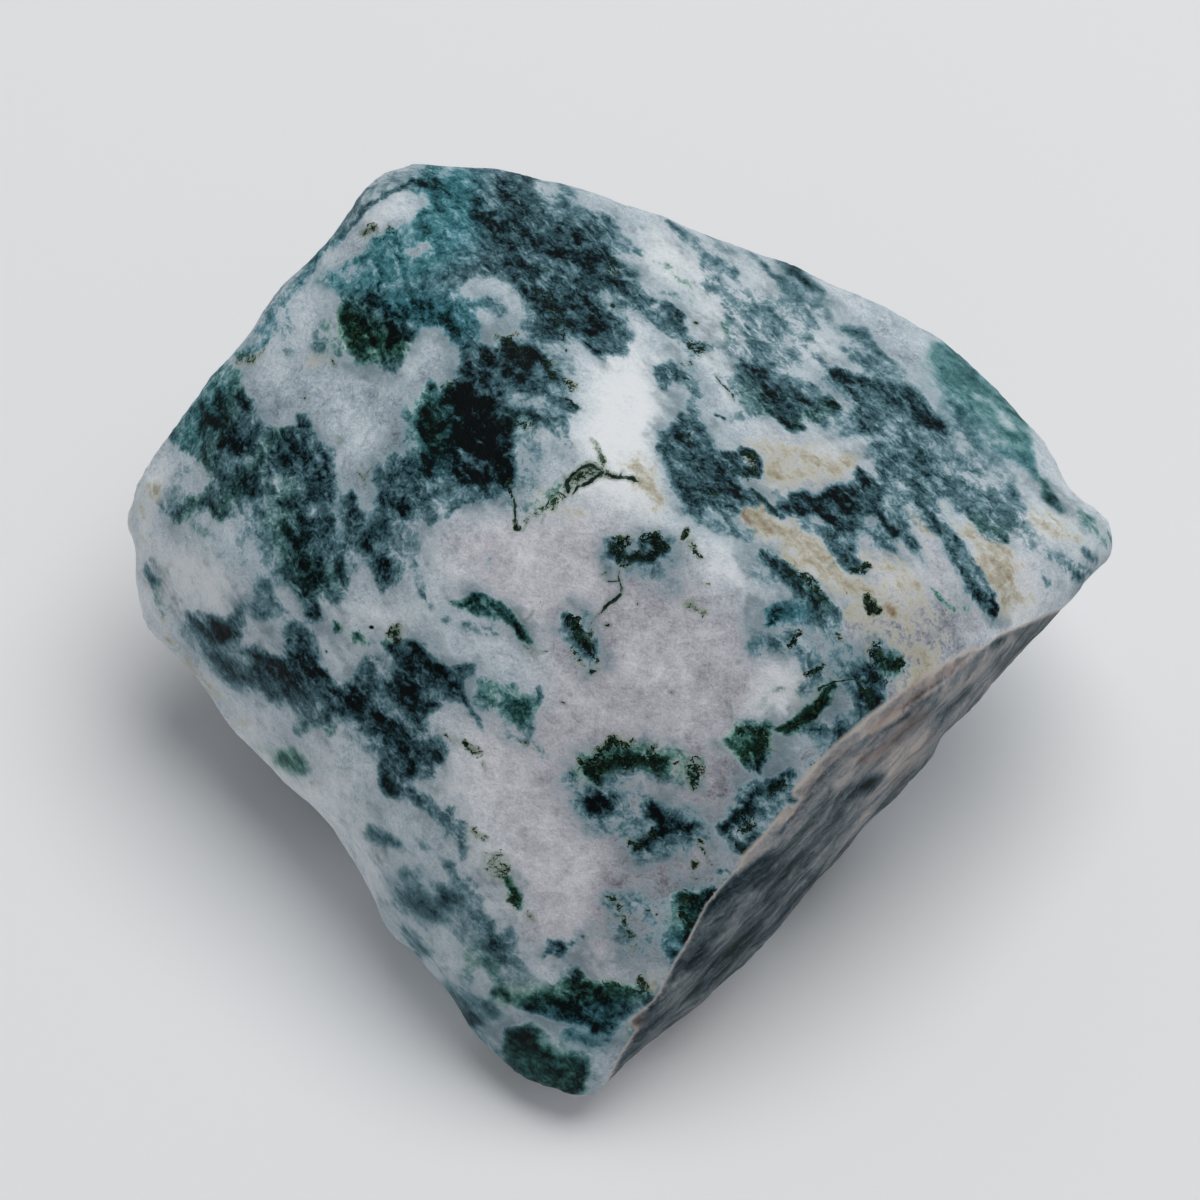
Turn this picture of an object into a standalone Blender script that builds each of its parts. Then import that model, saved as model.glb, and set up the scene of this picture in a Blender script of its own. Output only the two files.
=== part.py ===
"""A rough tree agate: one broken stone, lying on the flat spot of its back.

The stone is a white chalcedony block with a broad front face, a long bright roof face, faces that
fall away to the left and a steep face under a sharp edge. It is made as a stone is shaped: a block
with flat sides between named corners, worn round at its ridges, then scooped, bumped and ribbed,
and ground flat where it rests.

Lengths are in millimetres here and are turned to metres when the shape is finished.
"""

import math

import bmesh
import bpy
from mathutils import Vector, noise
from mathutils.geometry import intersect_point_line

MM = 0.001

# Driving dimensions, in millimetres
FACE_LEAN = math.radians(58.0)  # the front face looks this far above the horizon
FACE_ORIGIN = Vector((-0.85, -3.55, 19.0))  # where the middle of the front view stands over the table
BLOCK_VOXEL = 0.5
TRIANGLES = 8000

# Wear rounds every ridge, and the edge over the steep face much less
WEAR_SHARE = 0.5
WEAR_PASSES = 9
EDGE_WEAR = 0.12
EDGE_WEAR_REACH = 2.2

# Bumps all over the skin: size across, height, and where in the noise each is read
BUMPS = ((7.5, 0.36, 11.0), (3.4, 0.15, 37.0), (2.0, 0.08, 71.0))

# The steep face is a little fibrous: low uneven ribs run along it, side by side under the edge
STEEP_FACE = Vector((0.6, -0.68, 0.43))  # the way it looks, seen square on to the front face
STEEP_FROM, STEEP_WHOLLY = 0.55, 0.85
RIB_SPACING = 2.8
RIB_HEIGHT = 0.14
RIB_WAVER_SIZE = 6.0
RIB_WAVER = 0.6
RIB_START, RIB_FULL = 0.8, 2.0

# Corners of the outline, seen square on to the front face: across, up and out
RIM = {
    "top left corner": (-9.8, 18.4, -9.0),
    "crown": (-7.9, 19.3, -9.5),
    "crown right": (-4.3, 18.9, -10.5),
    "roof start": (0.1, 17.6, -11.5),
    "roof second": (4.3, 16.2, -12.5),
    "roof middle": (8.1, 15.0, -13.5),
    "roof fourth": (12.1, 13.1, -14.5),
    "roof shoulder": (15.1, 11.4, -15.0),
    "roof fall": (18.1, 8.5, -14.0),
    "roof end": (19.7, 6.4, -13.0),
    "right tip upper": (22.3, 3.1, -9.5),
    "right tip lower": (22.2, 2.4, -9.0),
    "under first": (19.9, 0.3, -11.0),
    "under second": (17.1, -2.4, -12.5),
    "under third": (15.2, -5.0, -13.0),
    "under knob": (13.2, -8.0, -13.0),
    "under fourth": (10.5, -11.3, -13.0),
    "under fifth": (6.7, -14.7, -11.5),
    "under sixth": (3.9, -17.7, -9.5),
    "foot right": (0.9, -20.5, -7.5),
    "foot tip": (-0.7, -21.5, -6.5),
    "foot step": (-3.1, -20.9, -7.5),
    "foot left": (-5.5, -19.0, -8.5),
    "lower flank": (-7.6, -15.7, -9.5),
    "flank": (-9.2, -12.9, -10.0),
    "flank middle": (-13.7, -8.2, -11.5),
    "flank upper": (-15.8, -6.4, -12.0),
    "shoulder low": (-19.7, -1.1, -13.0),
    "shoulder notch": (-20.6, 1.2, -13.0),
    "shoulder": (-21.0, 3.4, -12.5),
    "shoulder high": (-20.1, 5.6, -11.5),
    "slope first": (-18.8, 7.6, -11.0),
    "slope second": (-16.4, 10.0, -10.5),
    "slope third": (-14.4, 11.9, -10.5),
    "slope fourth": (-12.4, 14.2, -10.5),
    "slope last": (-10.9, 16.4, -10.0),
}

# The sharp edge between the front and the steep face, from the right tip down to the foot
EDGE = {
    "edge tip": (20.0, -0.1, -7.8),
    "edge end": (17.3, -1.7, -5.0),
    "edge fifth": (14.0, -4.1, -2.6),
    "edge fourth": (11.3, -5.4, -1.4),
    "edge bend": (8.9, -7.5, -1.3),
    "edge third": (7.6, -9.6, -1.7),
    "edge second": (5.1, -12.3, -2.4),
    "edge low": (3.0, -15.6, -3.7),
    "edge foot": (0.9, -19.4, -5.4),
}

# Corners of the faces that look out at the front
FRONT = {
    "summit": (1.2, 4.3, 0.1),
    "summit left": (-0.9, 6.7, -1.2),
    "left ridge low": (-2.9, 10.8, -4.0),
    "left ridge middle": (-5.1, 14.0, -6.0),
    "left ridge top": (-7.3, 17.7, -8.0),
    "spur start": (4.9, 2.3, 0.5),
    "spur middle": (7.9, 0.3, 0.5),
    "spur low": (9.9, -1.9, 0.1),
    "spur foot": (11.1, -4.4, -0.7),
    "tan face": (16.4, 0.6, -4.3),
    "front middle": (2.1, -4.1, 0.4),
    "front left": (-7.1, 1.7, -1.5),
    "front lower left": (-6.2, -5.0, -1.5),
    "front low": (-5.0, -10.4, -2.3),
    "front foot": (-2.9, -16.0, -4.3),
    "left strip top": (-9.1, 17.6, -7.5),
    "left strip upper": (-11.1, 15.2, -7.8),
    "left strip lower": (-13.2, 12.9, -8.2),
    "left strip foot": (-15.7, 10.3, -8.8),
    "flank face upper": (-11.4, 0.0, -3.6),
    "flank face left": (-16.2, 1.7, -6.5),
    "flank face low": (-12.8, -4.1, -5.3),
    "flank face foot": (-8.0, -12.2, -5.0),
}

# Corners of the hidden back and of the resting spot, as it lies: across, back and above the table
BACK = {
    "rest front": (-1.0, -4.0, -0.4),
    "rest right": (5.5, -2.5, -0.4),
    "rest right back": (7.0, 5.0, -0.4),
    "rest back": (2.0, 9.5, -0.4),
    "rest left back": (-5.5, 8.0, -0.4),
    "rest left": (-7.0, 1.5, -0.4),
    "keel front": (3.5, -7.5, 0.5),
    "keel left": (-9.0, -1.0, 1.0),
    "keel left back": (-10.0, 9.0, 1.5),
    "keel back": (-1.0, 14.0, 2.0),
    "keel right back": (9.0, 11.5, 1.6),
    "keel right": (11.0, 3.0, 1.4),
    "back upper": (-2.0, 21.5, 12.0),
    "back middle": (2.0, 19.5, 6.0),
    "back left": (-9.5, 18.5, 9.0),
    "back right": (11.5, 17.0, 6.5),
    "left belly": (-15.0, 9.0, 4.5),
    "right belly": (16.5, 8.0, 5.5),
}

# Scoops (below zero) and swells: middle, seen as the rim is, then reach and height
SCOOPS = {
    "flank scoop": ((-11.0, -11.2, -10.5), 4.5, -0.9),
    "lower flank scoop": ((-7.6, -16.4, -9.0), 3.5, -0.6),
    "upper flank scoop": ((-14.0, -9.0, -11.5), 4.0, -0.4),
    "steep face scoop": ((15.8, -6.0, -11.0), 4.0, -1.0),
    "neck scoop": ((20.7, 5.0, -11.5), 3.0, -0.6),
    "shoulder notch": ((-20.8, 2.1, -12.5), 1.8, -0.5),
    "shoulder swell": ((-19.5, -1.5, -12.5), 2.5, 0.3),
    "slope scoop": ((-11.6, 15.0, -9.5), 4.0, -0.4),
    "slope hollow": ((-15.2, 11.2, -10.0), 3.0, -0.4),
    "foot scoop": ((2.3, -19.0, -8.0), 3.0, -0.6),
    "back scoop": ((4.0, 9.0, -24.0), 9.0, -1.3),
    "back left scoop": ((-10.0, 6.0, -20.0), 7.0, -0.9),
    "under scoop": ((13.0, 1.0, -19.0), 7.0, -0.9),
}

# The plain finish: milky chalcedony with its green growths evened out, half matt
STONE_COLOUR = (0.36, 0.41, 0.41, 1.0)
STONE_ROUGHNESS = 0.55


def turned(way):
    """A direction seen square on to the front face, as it points when the stone lies."""
    across, up, out = way
    back = up * math.sin(FACE_LEAN) - out * math.cos(FACE_LEAN)
    above = up * math.cos(FACE_LEAN) + out * math.sin(FACE_LEAN)
    return Vector((across, back, above))


def from_face(point):
    """A point seen square on to the front face, as it lies on the table."""
    return FACE_ORIGIN + turned(point)


def from_table(point):
    """A corner of the back, moved with the stone."""
    return Vector((FACE_ORIGIN.x, FACE_ORIGIN.y, 0.0)) + Vector(point)


def block():
    """The block with flat sides between the corners."""
    corners = [from_face(point) for group in (RIM, EDGE, FRONT) for point in group.values()]
    corners += [from_table(point) for point in BACK.values()]
    shape = bmesh.new()
    for corner in corners:
        shape.verts.new(corner)
    hull = bmesh.ops.convex_hull(shape, input=shape.verts)
    inside = {item for item in hull["geom_interior"] if isinstance(item, bmesh.types.BMVert)}
    bmesh.ops.delete(shape, geom=list(inside), context="VERTS")
    bmesh.ops.recalc_face_normals(shape, faces=shape.faces)
    return shape


def stone_object(name, shape):
    """A scene object that holds the shape."""
    mesh = bpy.data.meshes.new(name)
    shape.to_mesh(mesh)
    shape.free()
    stone = bpy.data.objects.new(name, mesh)
    bpy.context.scene.collection.objects.link(stone)
    return stone


def apply_modifiers(stone):
    """Takes the shape as its modifiers leave it, and removes them."""
    graph = bpy.context.evaluated_depsgraph_get()
    graph.update()
    shaped = bpy.data.meshes.new_from_object(stone.evaluated_get(graph))
    stone.modifiers.clear()
    stone.data = shaped


def even_skin(stone):
    """Gives the block an even skin of small faces, which wear and scoops can move."""
    remesh = stone.modifiers.new("even skin", "REMESH")
    remesh.mode = "VOXEL"
    remesh.voxel_size = BLOCK_VOXEL
    apply_modifiers(stone)


def distance_to_line(point, line):
    """How far a point is from a line of straight runs."""
    nearest = math.inf
    for start, end in zip(line, line[1:]):
        foot, share = intersect_point_line(point, start, end)
        if share < 0.0:
            foot = start
        elif share > 1.0:
            foot = end
        nearest = min(nearest, (point - foot).length)
    return nearest


def fade(value, low, high):
    """A smooth step: 0 up to the low value, 1 from the high one."""
    share = min(max((value - low) / (high - low), 0.0), 1.0)
    return share * share * (3.0 - 2.0 * share)


def wear_ridges(stone, edge):
    """Rounds the ridges, and leaves the edge over the steep face fairly sharp."""
    group = stone.vertex_groups.new(name="wear")
    for vertex in stone.data.vertices:
        away = fade(distance_to_line(vertex.co, edge), 0.0, EDGE_WEAR_REACH)
        group.add([vertex.index], EDGE_WEAR + (1.0 - EDGE_WEAR) * away, "REPLACE")
    wear = stone.modifiers.new("wear", "SMOOTH")
    wear.factor = WEAR_SHARE
    wear.iterations = WEAR_PASSES
    wear.vertex_group = group.name
    apply_modifiers(stone)
    stone.vertex_groups.clear()


def scoop_height(point):
    """How far the scoops and swells move the skin here."""
    height = 0.0
    for middle, reach, depth in SCOOPS.values():
        share = (point - from_face(middle)).length / reach
        if share < 1.0:
            height += depth * (1.0 - share * share) ** 2
    return height


def bump_height(point):
    """How far the bumps move the skin here."""
    height = 0.0
    for size, rise, place in BUMPS:
        height += rise * noise.noise(point / size + Vector((place, place, place)))
    return height


def rib_height(point, normal, edge):
    """How far the ribs of the steep face move the skin here."""
    steep = fade(normal.dot(turned(STEEP_FACE).normalized()), STEEP_FROM, STEEP_WHOLLY)
    if steep == 0.0:
        return 0.0
    away = distance_to_line(point, edge)
    waver = noise.noise(point / RIB_WAVER_SIZE)
    turn = 2.0 * math.pi * (away / RIB_SPACING + RIB_WAVER * waver)
    uneven = 1.0 + 2.0 * waver
    return RIB_HEIGHT * uneven * math.sin(turn) * steep * fade(away, RIB_START, RIB_FULL)


def carve(stone, edge):
    """Moves the skin along its normals by the scoops, bumps and ribs."""
    skin = [(vertex.co.copy(), vertex.normal.copy()) for vertex in stone.data.vertices]
    for vertex, (place, normal) in zip(stone.data.vertices, skin):
        height = scoop_height(place) + bump_height(place) + rib_height(place, normal, edge)
        vertex.co = place + normal * height


def grind_base(stone):
    """Grinds the resting spot flat, at the height of the table."""
    for vertex in stone.data.vertices:
        vertex.co.z = max(vertex.co.z, 0.0)


def thin_out(stone):
    """Merges small faces where the skin is plain, down to the triangle count."""
    thin = stone.modifiers.new("thin out", "DECIMATE")
    thin.ratio = TRIANGLES / (2.0 * len(stone.data.vertices))
    apply_modifiers(stone)


def chalcedony():
    """The plain finish of the stone."""
    finish = bpy.data.materials.new("tree_agate_chalcedony")
    finish.use_nodes = True
    shader = finish.node_tree.nodes["Principled BSDF"]
    shader.inputs["Base Color"].default_value = STONE_COLOUR
    shader.inputs["Roughness"].default_value = STONE_ROUGHNESS
    shader.inputs["Metallic"].default_value = 0.0
    return finish


def clear_scene():
    """Removes every object that the scene starts with."""
    for item in list(bpy.data.objects):
        bpy.data.objects.remove(item, do_unlink=True)


def main():
    """Builds the stone."""
    clear_scene()
    edge = [from_face(point) for point in EDGE.values()]
    stone = stone_object("tree_agate", block())
    even_skin(stone)
    wear_ridges(stone, edge)
    carve(stone, edge)
    grind_base(stone)
    thin_out(stone)
    grind_base(stone)
    for vertex in stone.data.vertices:
        vertex.co *= MM
    stone.data.materials.append(chalcedony())
    stone.data.shade_smooth()


main()
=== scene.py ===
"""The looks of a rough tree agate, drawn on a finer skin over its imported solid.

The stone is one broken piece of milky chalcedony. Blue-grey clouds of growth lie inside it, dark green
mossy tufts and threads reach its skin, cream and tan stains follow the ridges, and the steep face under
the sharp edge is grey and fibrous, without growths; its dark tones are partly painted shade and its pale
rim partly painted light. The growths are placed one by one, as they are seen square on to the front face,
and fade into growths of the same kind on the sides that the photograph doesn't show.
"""

from __future__ import annotations

import logging
import math
from collections.abc import Sequence
from dataclasses import dataclass
from enum import Enum

import bpy
import numpy as np
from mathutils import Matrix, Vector, noise

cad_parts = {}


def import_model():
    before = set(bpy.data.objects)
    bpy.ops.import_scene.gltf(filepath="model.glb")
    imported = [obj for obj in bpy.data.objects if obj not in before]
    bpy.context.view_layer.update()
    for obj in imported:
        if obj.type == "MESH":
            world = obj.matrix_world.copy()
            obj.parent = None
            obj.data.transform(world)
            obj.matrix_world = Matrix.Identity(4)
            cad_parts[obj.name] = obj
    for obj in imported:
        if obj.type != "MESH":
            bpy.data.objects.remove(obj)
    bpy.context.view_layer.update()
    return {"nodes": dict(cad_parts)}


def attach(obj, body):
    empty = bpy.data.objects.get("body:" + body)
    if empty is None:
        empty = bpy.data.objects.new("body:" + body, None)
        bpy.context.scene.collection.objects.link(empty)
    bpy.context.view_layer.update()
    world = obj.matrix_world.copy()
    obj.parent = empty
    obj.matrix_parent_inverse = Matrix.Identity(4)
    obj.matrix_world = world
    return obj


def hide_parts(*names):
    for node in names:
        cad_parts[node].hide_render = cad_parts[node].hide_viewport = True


LOG = logging.getLogger("tree_agate")
MM = 0.001
STONE = "tree_agate"
STONE_SLOT = "tree_agate_chalcedony"

Socket = bpy.types.NodeSocket
Values = np.ndarray
Colour = tuple[float, float, float, float]


class Growth(Enum):
    """What grows in the stone or lies on it, by the name of the attribute that holds it. The body's
    milkiness also holds painted light, and the steep face's tones painted light and shade.
    """

    SLATE = "slate"
    HALO = "halo"
    DEEP = "deep"
    MOSS = "moss"
    THREAD = "thread"
    # Also raised along the left rim and low left flank as painted light
    MILK_AND_PAINTED_LIGHT = "milk_and_painted_light"
    STAIN = "stain"
    GREEN = "green"
    TEAL = "teal"
    BLUSH = "blush"
    # The steep face's tones: its dark is partly painted shade, its pale rim partly painted light
    CRUST_PAINTED_LIGHT_AND_SHADE = "crust_painted_light_and_shade"


@dataclass(frozen=True)
class Mark:
    """One marking as it is seen in the photograph.

    Attributes:
        depth: How strongly it shows at its middle.
        path: Pixel points along it: "across,down" and, on a stroke, ",half its width there".
        edge: Over how many pixels it fades, or zero for the usual edge of its kind.
    """

    depth: float
    path: str
    edge: float = 0.0

    def rows(self) -> Values:
        """Its points as numbers, one row for each."""
        return np.array([[float(part) for part in point.split(",")] for point in self.path.split()])

    def outside(self, places: Values) -> Values:
        """How far each place lies outside it, in pixels, or below zero inside it."""
        raise NotImplementedError


class Stroke(Mark):
    """A marking along a line."""

    def outside(self, places: Values) -> Values:
        """How far each place lies outside the stroke, in pixels."""
        rows = self.rows()
        least = np.full(len(places), np.inf)
        for start, end in zip(rows, rows[1:] if len(rows) > 1 else rows):
            share, apart = nearest(places, start[:2], end[:2])
            least = np.minimum(least, apart - start[2] - share * (end[2] - start[2]))
        return least


class Patch(Mark):
    """A marking inside a closed outline."""

    def outside(self, places: Values) -> Values:
        """How far each place lies outside the outline, in pixels."""
        rows = self.rows()
        least = np.full(len(places), np.inf)
        inside = np.zeros(len(places), dtype=bool)
        for start, end in zip(rows, np.roll(rows, -1, axis=0)):
            least = np.minimum(least, nearest(places, start, end)[1])
            if start[1] != end[1]:
                level = (places[:, 1] > start[1]) != (places[:, 1] > end[1])
                slope = (end[0] - start[0]) / (end[1] - start[1])
                inside ^= level & (places[:, 0] < start[0] + slope * (places[:, 1] - start[1]))
        return np.where(inside, -least, least)


def nearest(places: Values, start: Values, end: Values) -> tuple[Values, Values]:
    """Where each place comes nearest to a straight line.

    Args:
        places: One row for each place.
        start: One end of the line.
        end: Its other end.

    Returns:
        The share of the line up to that point, and the distance to it.
    """
    run = end - start
    share = np.clip((places - start) @ run / max(float(run @ run), 1e-9), 0.0, 1.0)
    return share, np.linalg.norm(places - start - share[:, None] * run, axis=1)


# The growths inside the stone. A depth of 0.25 is a thin veil, 0.45 grey-teal, 0.6 to 0.7 slate,
# 0.85 dark and 1 black. Each hides what lies under it, so that a depth near 0 is white stone again
SLATE = (
    # The crown, the strip outside the left ridge and the face under them
    Patch(0.22, "238,366 300,298 330,268 372,214 405,190 416,172 410,155 360,160 220,350"),
    Stroke(0.5, "262,330,3 290,296,4 316,268,4 340,236,3", 8),
    Stroke(0.1, "285,310,2 312,282,3 332,258,3", 8),
    Stroke(0.5, "240,356,4 262,346,4 280,326,3", 8),
    Stroke(0.62, "338,240,2 362,214,3 376,203,2 396,191,3 412,182,1", 4),
    Stroke(0.5, "326,246,2 372,182,3", 6),
    Patch(0.55,
        "318,284 345,262 366,250 374,238 400,226 426,203 408,192 416,172 430,158 550,170 578,196 "
        "560,228 480,226 458,300 335,292"),
    Stroke(0.14, "446,166,5 443,176,5"),
    Patch(0.64, "498,160 545,176 540,205 500,208 490,190"),
    Stroke(0.85, "412,182,2 424,186,4 438,184,4", 6),
    Stroke(0.66, "436,190,5 460,196,5"),
    Stroke(0.05, "411,250,3 418,252,4 427,246,4", 5),
    Stroke(0.3, "452,216,5 466,234,5"),
    Stroke(0.68, "376,244,5 392,238,7 400,242,5"),
    Patch(0.7,
        "462,206 478,200 505,202 535,196 558,208 578,226 590,214 601,210 622,244 612,258 634,284 "
        "655,302 645,310 620,300 600,296 606,306 624,318 634,340 622,356 604,363 592,352 584,342 "
        "562,346 548,344 532,340 528,318 520,296 508,282 468,266 470,240 460,222"),
    Stroke(0.5, "515,236,8 538,232,8 545,242,6"),
    Stroke(0.84, "478,218,6 510,232,6 560,258,7 600,262,9 618,276,7"),
    Stroke(0.86, "526,286,5 552,312,7"),
    Stroke(0.84, "574,304,8 592,318,12 586,332,9"),
    Stroke(0.92, "590,342,4 598,350,6", 6),
    Stroke(0.9, "560,334,4 566,342,4", 6),
    Patch(0.5, "610,236 632,240 633,248 618,252 606,250"),
    Patch(0.5, "572,196 566,222 550,210 548,195"),
    Patch(0.04, "572,198 578,194 612,208 578,214"),
    Patch(0.08, "536,180 556,184 560,190 548,200 540,196"),
    Patch(0.03, "318,268 348,236 358,250 330,266"),
    Patch(0.03, "362,226 386,204 402,198 426,202 414,212 416,220 400,222 396,230 380,232"),
    Patch(0.05, "314,300 348,286 316,322"),
    Patch(0.66,
        "344,298 366,290 458,304 472,318 480,345 462,348 450,336 436,328 420,331 410,346 345,345 "
        "340,320"),
    Patch(0.56, "326,292 350,270 462,268 470,282 456,300 470,340 458,348 444,330 400,300", 14),
    Stroke(0.7, "370,292,6 400,300,8 430,312,10 452,326,8", 14),
    Stroke(0.5, "462,312,8 474,330,7 470,350,6"),
    Patch(0.98,
        "336,314 360,306 376,310 378,324 388,320 396,335 402,338 404,350 396,352 398,362 392,376 "
        "380,364 372,352 352,348 344,335"),
    Stroke(0.5, "340,352,5 358,360,8 376,358,7", 12),
    Stroke(0.6, "406,344,6 398,366,4", 8),
    Patch(0.12, "452,298 460,286 492,276 516,294 527,340 483,338 487,320 478,300", 14),
    Patch(0.66,
        "462,345 480,348 490,356 504,344 520,346 535,344 545,362 558,366 574,396 580,410 550,428 "
        "536,424 522,432 500,402 470,390 455,380 458,362"),
    Patch(0.8, "466,356 500,350 536,352 546,366 530,384 502,394 470,384", 14),
    Stroke(0.72, "500,346,5 520,344,5"),
    Stroke(0.95, "482,352,4 486,358,4", 6),
    Stroke(0.88, "506,352,4 522,358,5 540,360,4", 8),
    Stroke(0.95, "468,374,6 476,378,4", 7),
    Stroke(0.8, "505,378,5 520,384,6 556,376,5"),
    Stroke(0.24, "514,392,4 526,400,6 545,406,5"),
    Stroke(0.32, "536,370,3 550,390,4"),
    Patch(0.25, "542,350 556,346 568,354 576,368 582,392 562,366 550,362", 8),
    Patch(1, "442,394 455,384 470,387 482,394 500,402 516,478 496,470 462,452 426,464 420,448 422,428", 10),
    Patch(0.78, "436,462 500,476 514,488 500,498 470,500 448,516 430,522 428,480", 10),
    Stroke(0.82, "430,404,6 419,424,7 416,446,6 424,462,5", 10),
    Patch(0.88, "440,452 462,452 500,468 514,482 506,490 476,488 470,476 452,478 436,470", 10),
    Patch(0.82, "500,402 536,424 530,434 506,446", 10),
    Stroke(0.34, "410,410,6 407,428,7 411,446,6", 10),
    Patch(0.56, "552,416 578,410 570,420 570,440 575,456 568,448 562,430", 8),
    Stroke(0.5, "553,424,4 560,440,3 566,450,3 561,460,3", 6),
    Stroke(0.36, "518,440,6 524,456,7 538,461,3"),
    # The left shoulder
    Patch(0.7,
        "224,362 240,372 236,382 256,402 258,418 262,430 278,430 294,432 300,418 308,416 313,430 "
        "322,444 333,450 338,480 340,500 333,504 340,520 347,545 350,570 346,588 338,602 330,596 "
        "320,598 324,620 309,622 304,600 294,590 280,582 270,572 281,560 274,522 286,512 280,500 "
        "250,501 238,498 229,506 230,518 223,524 204,500 206,490 218,484 213,474 186,456 178,445 "
        "168,436 180,418"),
    Patch(0.5, "212,378 230,366 240,374 236,384 220,392 198,420 202,450 192,458 180,450 172,436"),
    Stroke(0.88, "206,416,8 222,424,9 226,440,9 238,450,9"),
    Stroke(0.84, "284,440,11 300,452,13 282,464,10"),
    Stroke(0.74, "196,412,5 210,396,5"),
    Stroke(0.3, "244,460,4 268,482,4", 10),
    Stroke(0.46, "286,478,8 296,492,8", 12),
    Stroke(0.3, "328,488,3 333,503,4 341,520,3 350,552,4", 8),
    Stroke(0.93, "302,502,9 304,516,11 305,534,8", 12),
    Stroke(0.86, "320,525,7 326,548,10 322,566,8 336,596,3", 12),
    Stroke(0.84, "300,550,8 306,576,8 314,612,4", 12),
    Patch(0.62, "342,494 352,488 360,498 368,516 380,502 406,566 396,582 386,588 378,572 354,552 346,532"),
    Stroke(0.86, "352,498,5 356,512,4", 8),
    Stroke(0.8, "374,530,5 384,538,5 366,545,5", 12),
    Stroke(0.8, "181,509,8 185,517,7", 10),
    Stroke(0.7, "197,527,4 205,532,4", 7),
    Stroke(0.86, "213,492,7 216,503,8 224,515,5", 10),
    Stroke(0.78, "242,486,6 256,490,7 262,482,5", 10),
    Stroke(0.62, "151,562,5 155,576,6", 16),
    Stroke(0.42, "156,585,3 160,604,3 164,618,2", 8),
    Stroke(0.2, "236,560,8 262,566,9 256,586,9", 20),
    Stroke(0.16, "190,480,8 178,494,7", 20),
    # The slate that runs between the white lobe and the front
    Patch(0.6,
        "376,470 384,458 396,448 410,454 424,468 430,522 418,514 404,520 412,562 396,584 388,588 "
        "372,562 382,540 385,488 374,480"),
    Patch(0.66, "380,482 398,462 420,470 434,490 430,514 404,520 388,580 378,506", 12),
    Stroke(0.96, "400,500,4 403,514,5", 7),
    Stroke(0.84, "384,514,3 388,530,5", 8),
    Stroke(0.88, "384,558,5 389,570,5", 8),
    Stroke(0.76, "412,470,5 422,488,5 426,506,5"),
    Stroke(0.42, "440,488,8 452,494,8", 10),
    Stroke(0.4, "396,553,6 410,560,6 419,576,5 425,592,6 432,604,3", 8),
    Stroke(0.4, "446,616,6", 8),
    Stroke(0.26, "488,557,4 486,568,4", 8),
    Patch(0.62,
        "450,598 462,597 474,591 496,600 529,636 534,646 520,644 514,628 500,622 486,620 458,606", 8),
    Stroke(0.8, "484,596,2 500,604,3 514,622,3 522,638,3", 6),
    # The belly of the left side
    Patch(0.8,
        "188,612 200,610 206,617 226,618 238,610 246,620 247,636 240,642 232,640 232,650 220,652 "
        "192,636 184,626", 12),
    Patch(0.44, "236,606 262,598 282,600 296,612 270,624 250,616 240,622", 14),
    Stroke(0.7, "266,588,5 272,602,6 276,610,4", 12),
    Patch(0.74,
        "196,640 236,652 250,646 262,644 270,652 286,656 294,624 304,622 316,632 320,656 332,680 "
        "350,682 358,668 366,672 372,690 384,700 394,742 392,760 400,786 396,800 386,796 378,784 "
        "380,768 376,744 358,732 350,722 336,716 330,736 322,724 304,732 296,726 302,706 280,704 "
        "262,696 240,688 222,676 206,662", 16),
    Stroke(0.97, "298,638,6 301,656,8 312,670,7 326,678,5", 10),
    Stroke(0.95, "270,664,6 282,672,8 290,680,7", 14),
    Stroke(0.9, "358,696,7 366,712,8 382,724,6", 12),
    Stroke(0.97, "386,786,7 392,792,6", 10),
    Stroke(0.66, "302,726,5 312,722,5", 12),
    Stroke(0.5, "330,726,3 333,738,3", 12),
    Patch(0.55, "276,750 292,746 302,752 309,766 306,774 290,772 276,766", 14),
    Stroke(0.28, "256,744,4 272,750,4", 12),
    Stroke(0.22, "318,762,5 326,764,4", 12),
    Patch(0.03, "248,630 262,624 284,624 288,652 270,650 258,642", 12),
    Patch(0.03, "322,640 330,606 378,600 380,640 348,678 336,680 326,668", 12),
    Stroke(0.66, "338,622,3 342,630,4", 6),
    Patch(0.66, "354,632 362,630 371,650 364,648 356,640", 7),
    Stroke(0.2, "372,660,6 388,668,6", 14),
    Patch(0.74,
        "382,648 390,640 404,642 414,640 426,642 434,656 446,664 472,664 476,674 462,680 466,694 "
        "456,704 444,700 440,706 430,716 428,732 420,736 438,738 446,748 444,768 424,780 404,778 "
        "392,774 388,756 392,740 384,720 390,700 378,690 380,676 392,670 392,660"),
    Stroke(0.2, "388,664,5 392,676,3", 10),
    Stroke(0.28, "382,700,4 390,708,4 402,716,4 410,726,3", 10),
    Stroke(0.96, "418,648,4 428,656,6 432,670,6 448,670,4", 8),
    Stroke(0.9, "402,692,5 412,690,6", 10),
    Stroke(0.86, "458,684,4 462,694,4", 8),
    Stroke(0.66, "462,666,4 472,668,5", 7),
    Stroke(0.66, "462,698,4 472,708,3 480,720,3 483,728,1", 6),
    Stroke(0.62, "482,682,5 486,690,9 496,690,4", 9),
    Stroke(0.46, "478,700,6 500,704,7 508,726,5", 16),
    Patch(0.64,
        "504,686 514,686 520,696 532,698 532,688 540,686 542,694 532,716 536,728 532,736 522,730 "
        "512,716 506,704", 8),
    Stroke(0.36, "510,736,5 526,740,5 545,756,4", 10),
    Patch(0.2, "560,772 640,800 604,830 562,792", 18),
    Stroke(0.66, "572,777,5", 7),
    Stroke(0.7, "404,786,4 418,796,5 442,817,7 452,812,6", 10),
    Stroke(0.6, "448,822,7 462,828,7 467,842,4 466,858,3", 10),
    Stroke(0.4, "446,832,6", 12),
    Stroke(0.7, "372,832,6 382,840,6 396,846,5", 14),
    Stroke(0.4, "418,842,5 436,852,4 448,860,3", 12),
    # The foot
    Patch(0.34,
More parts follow.
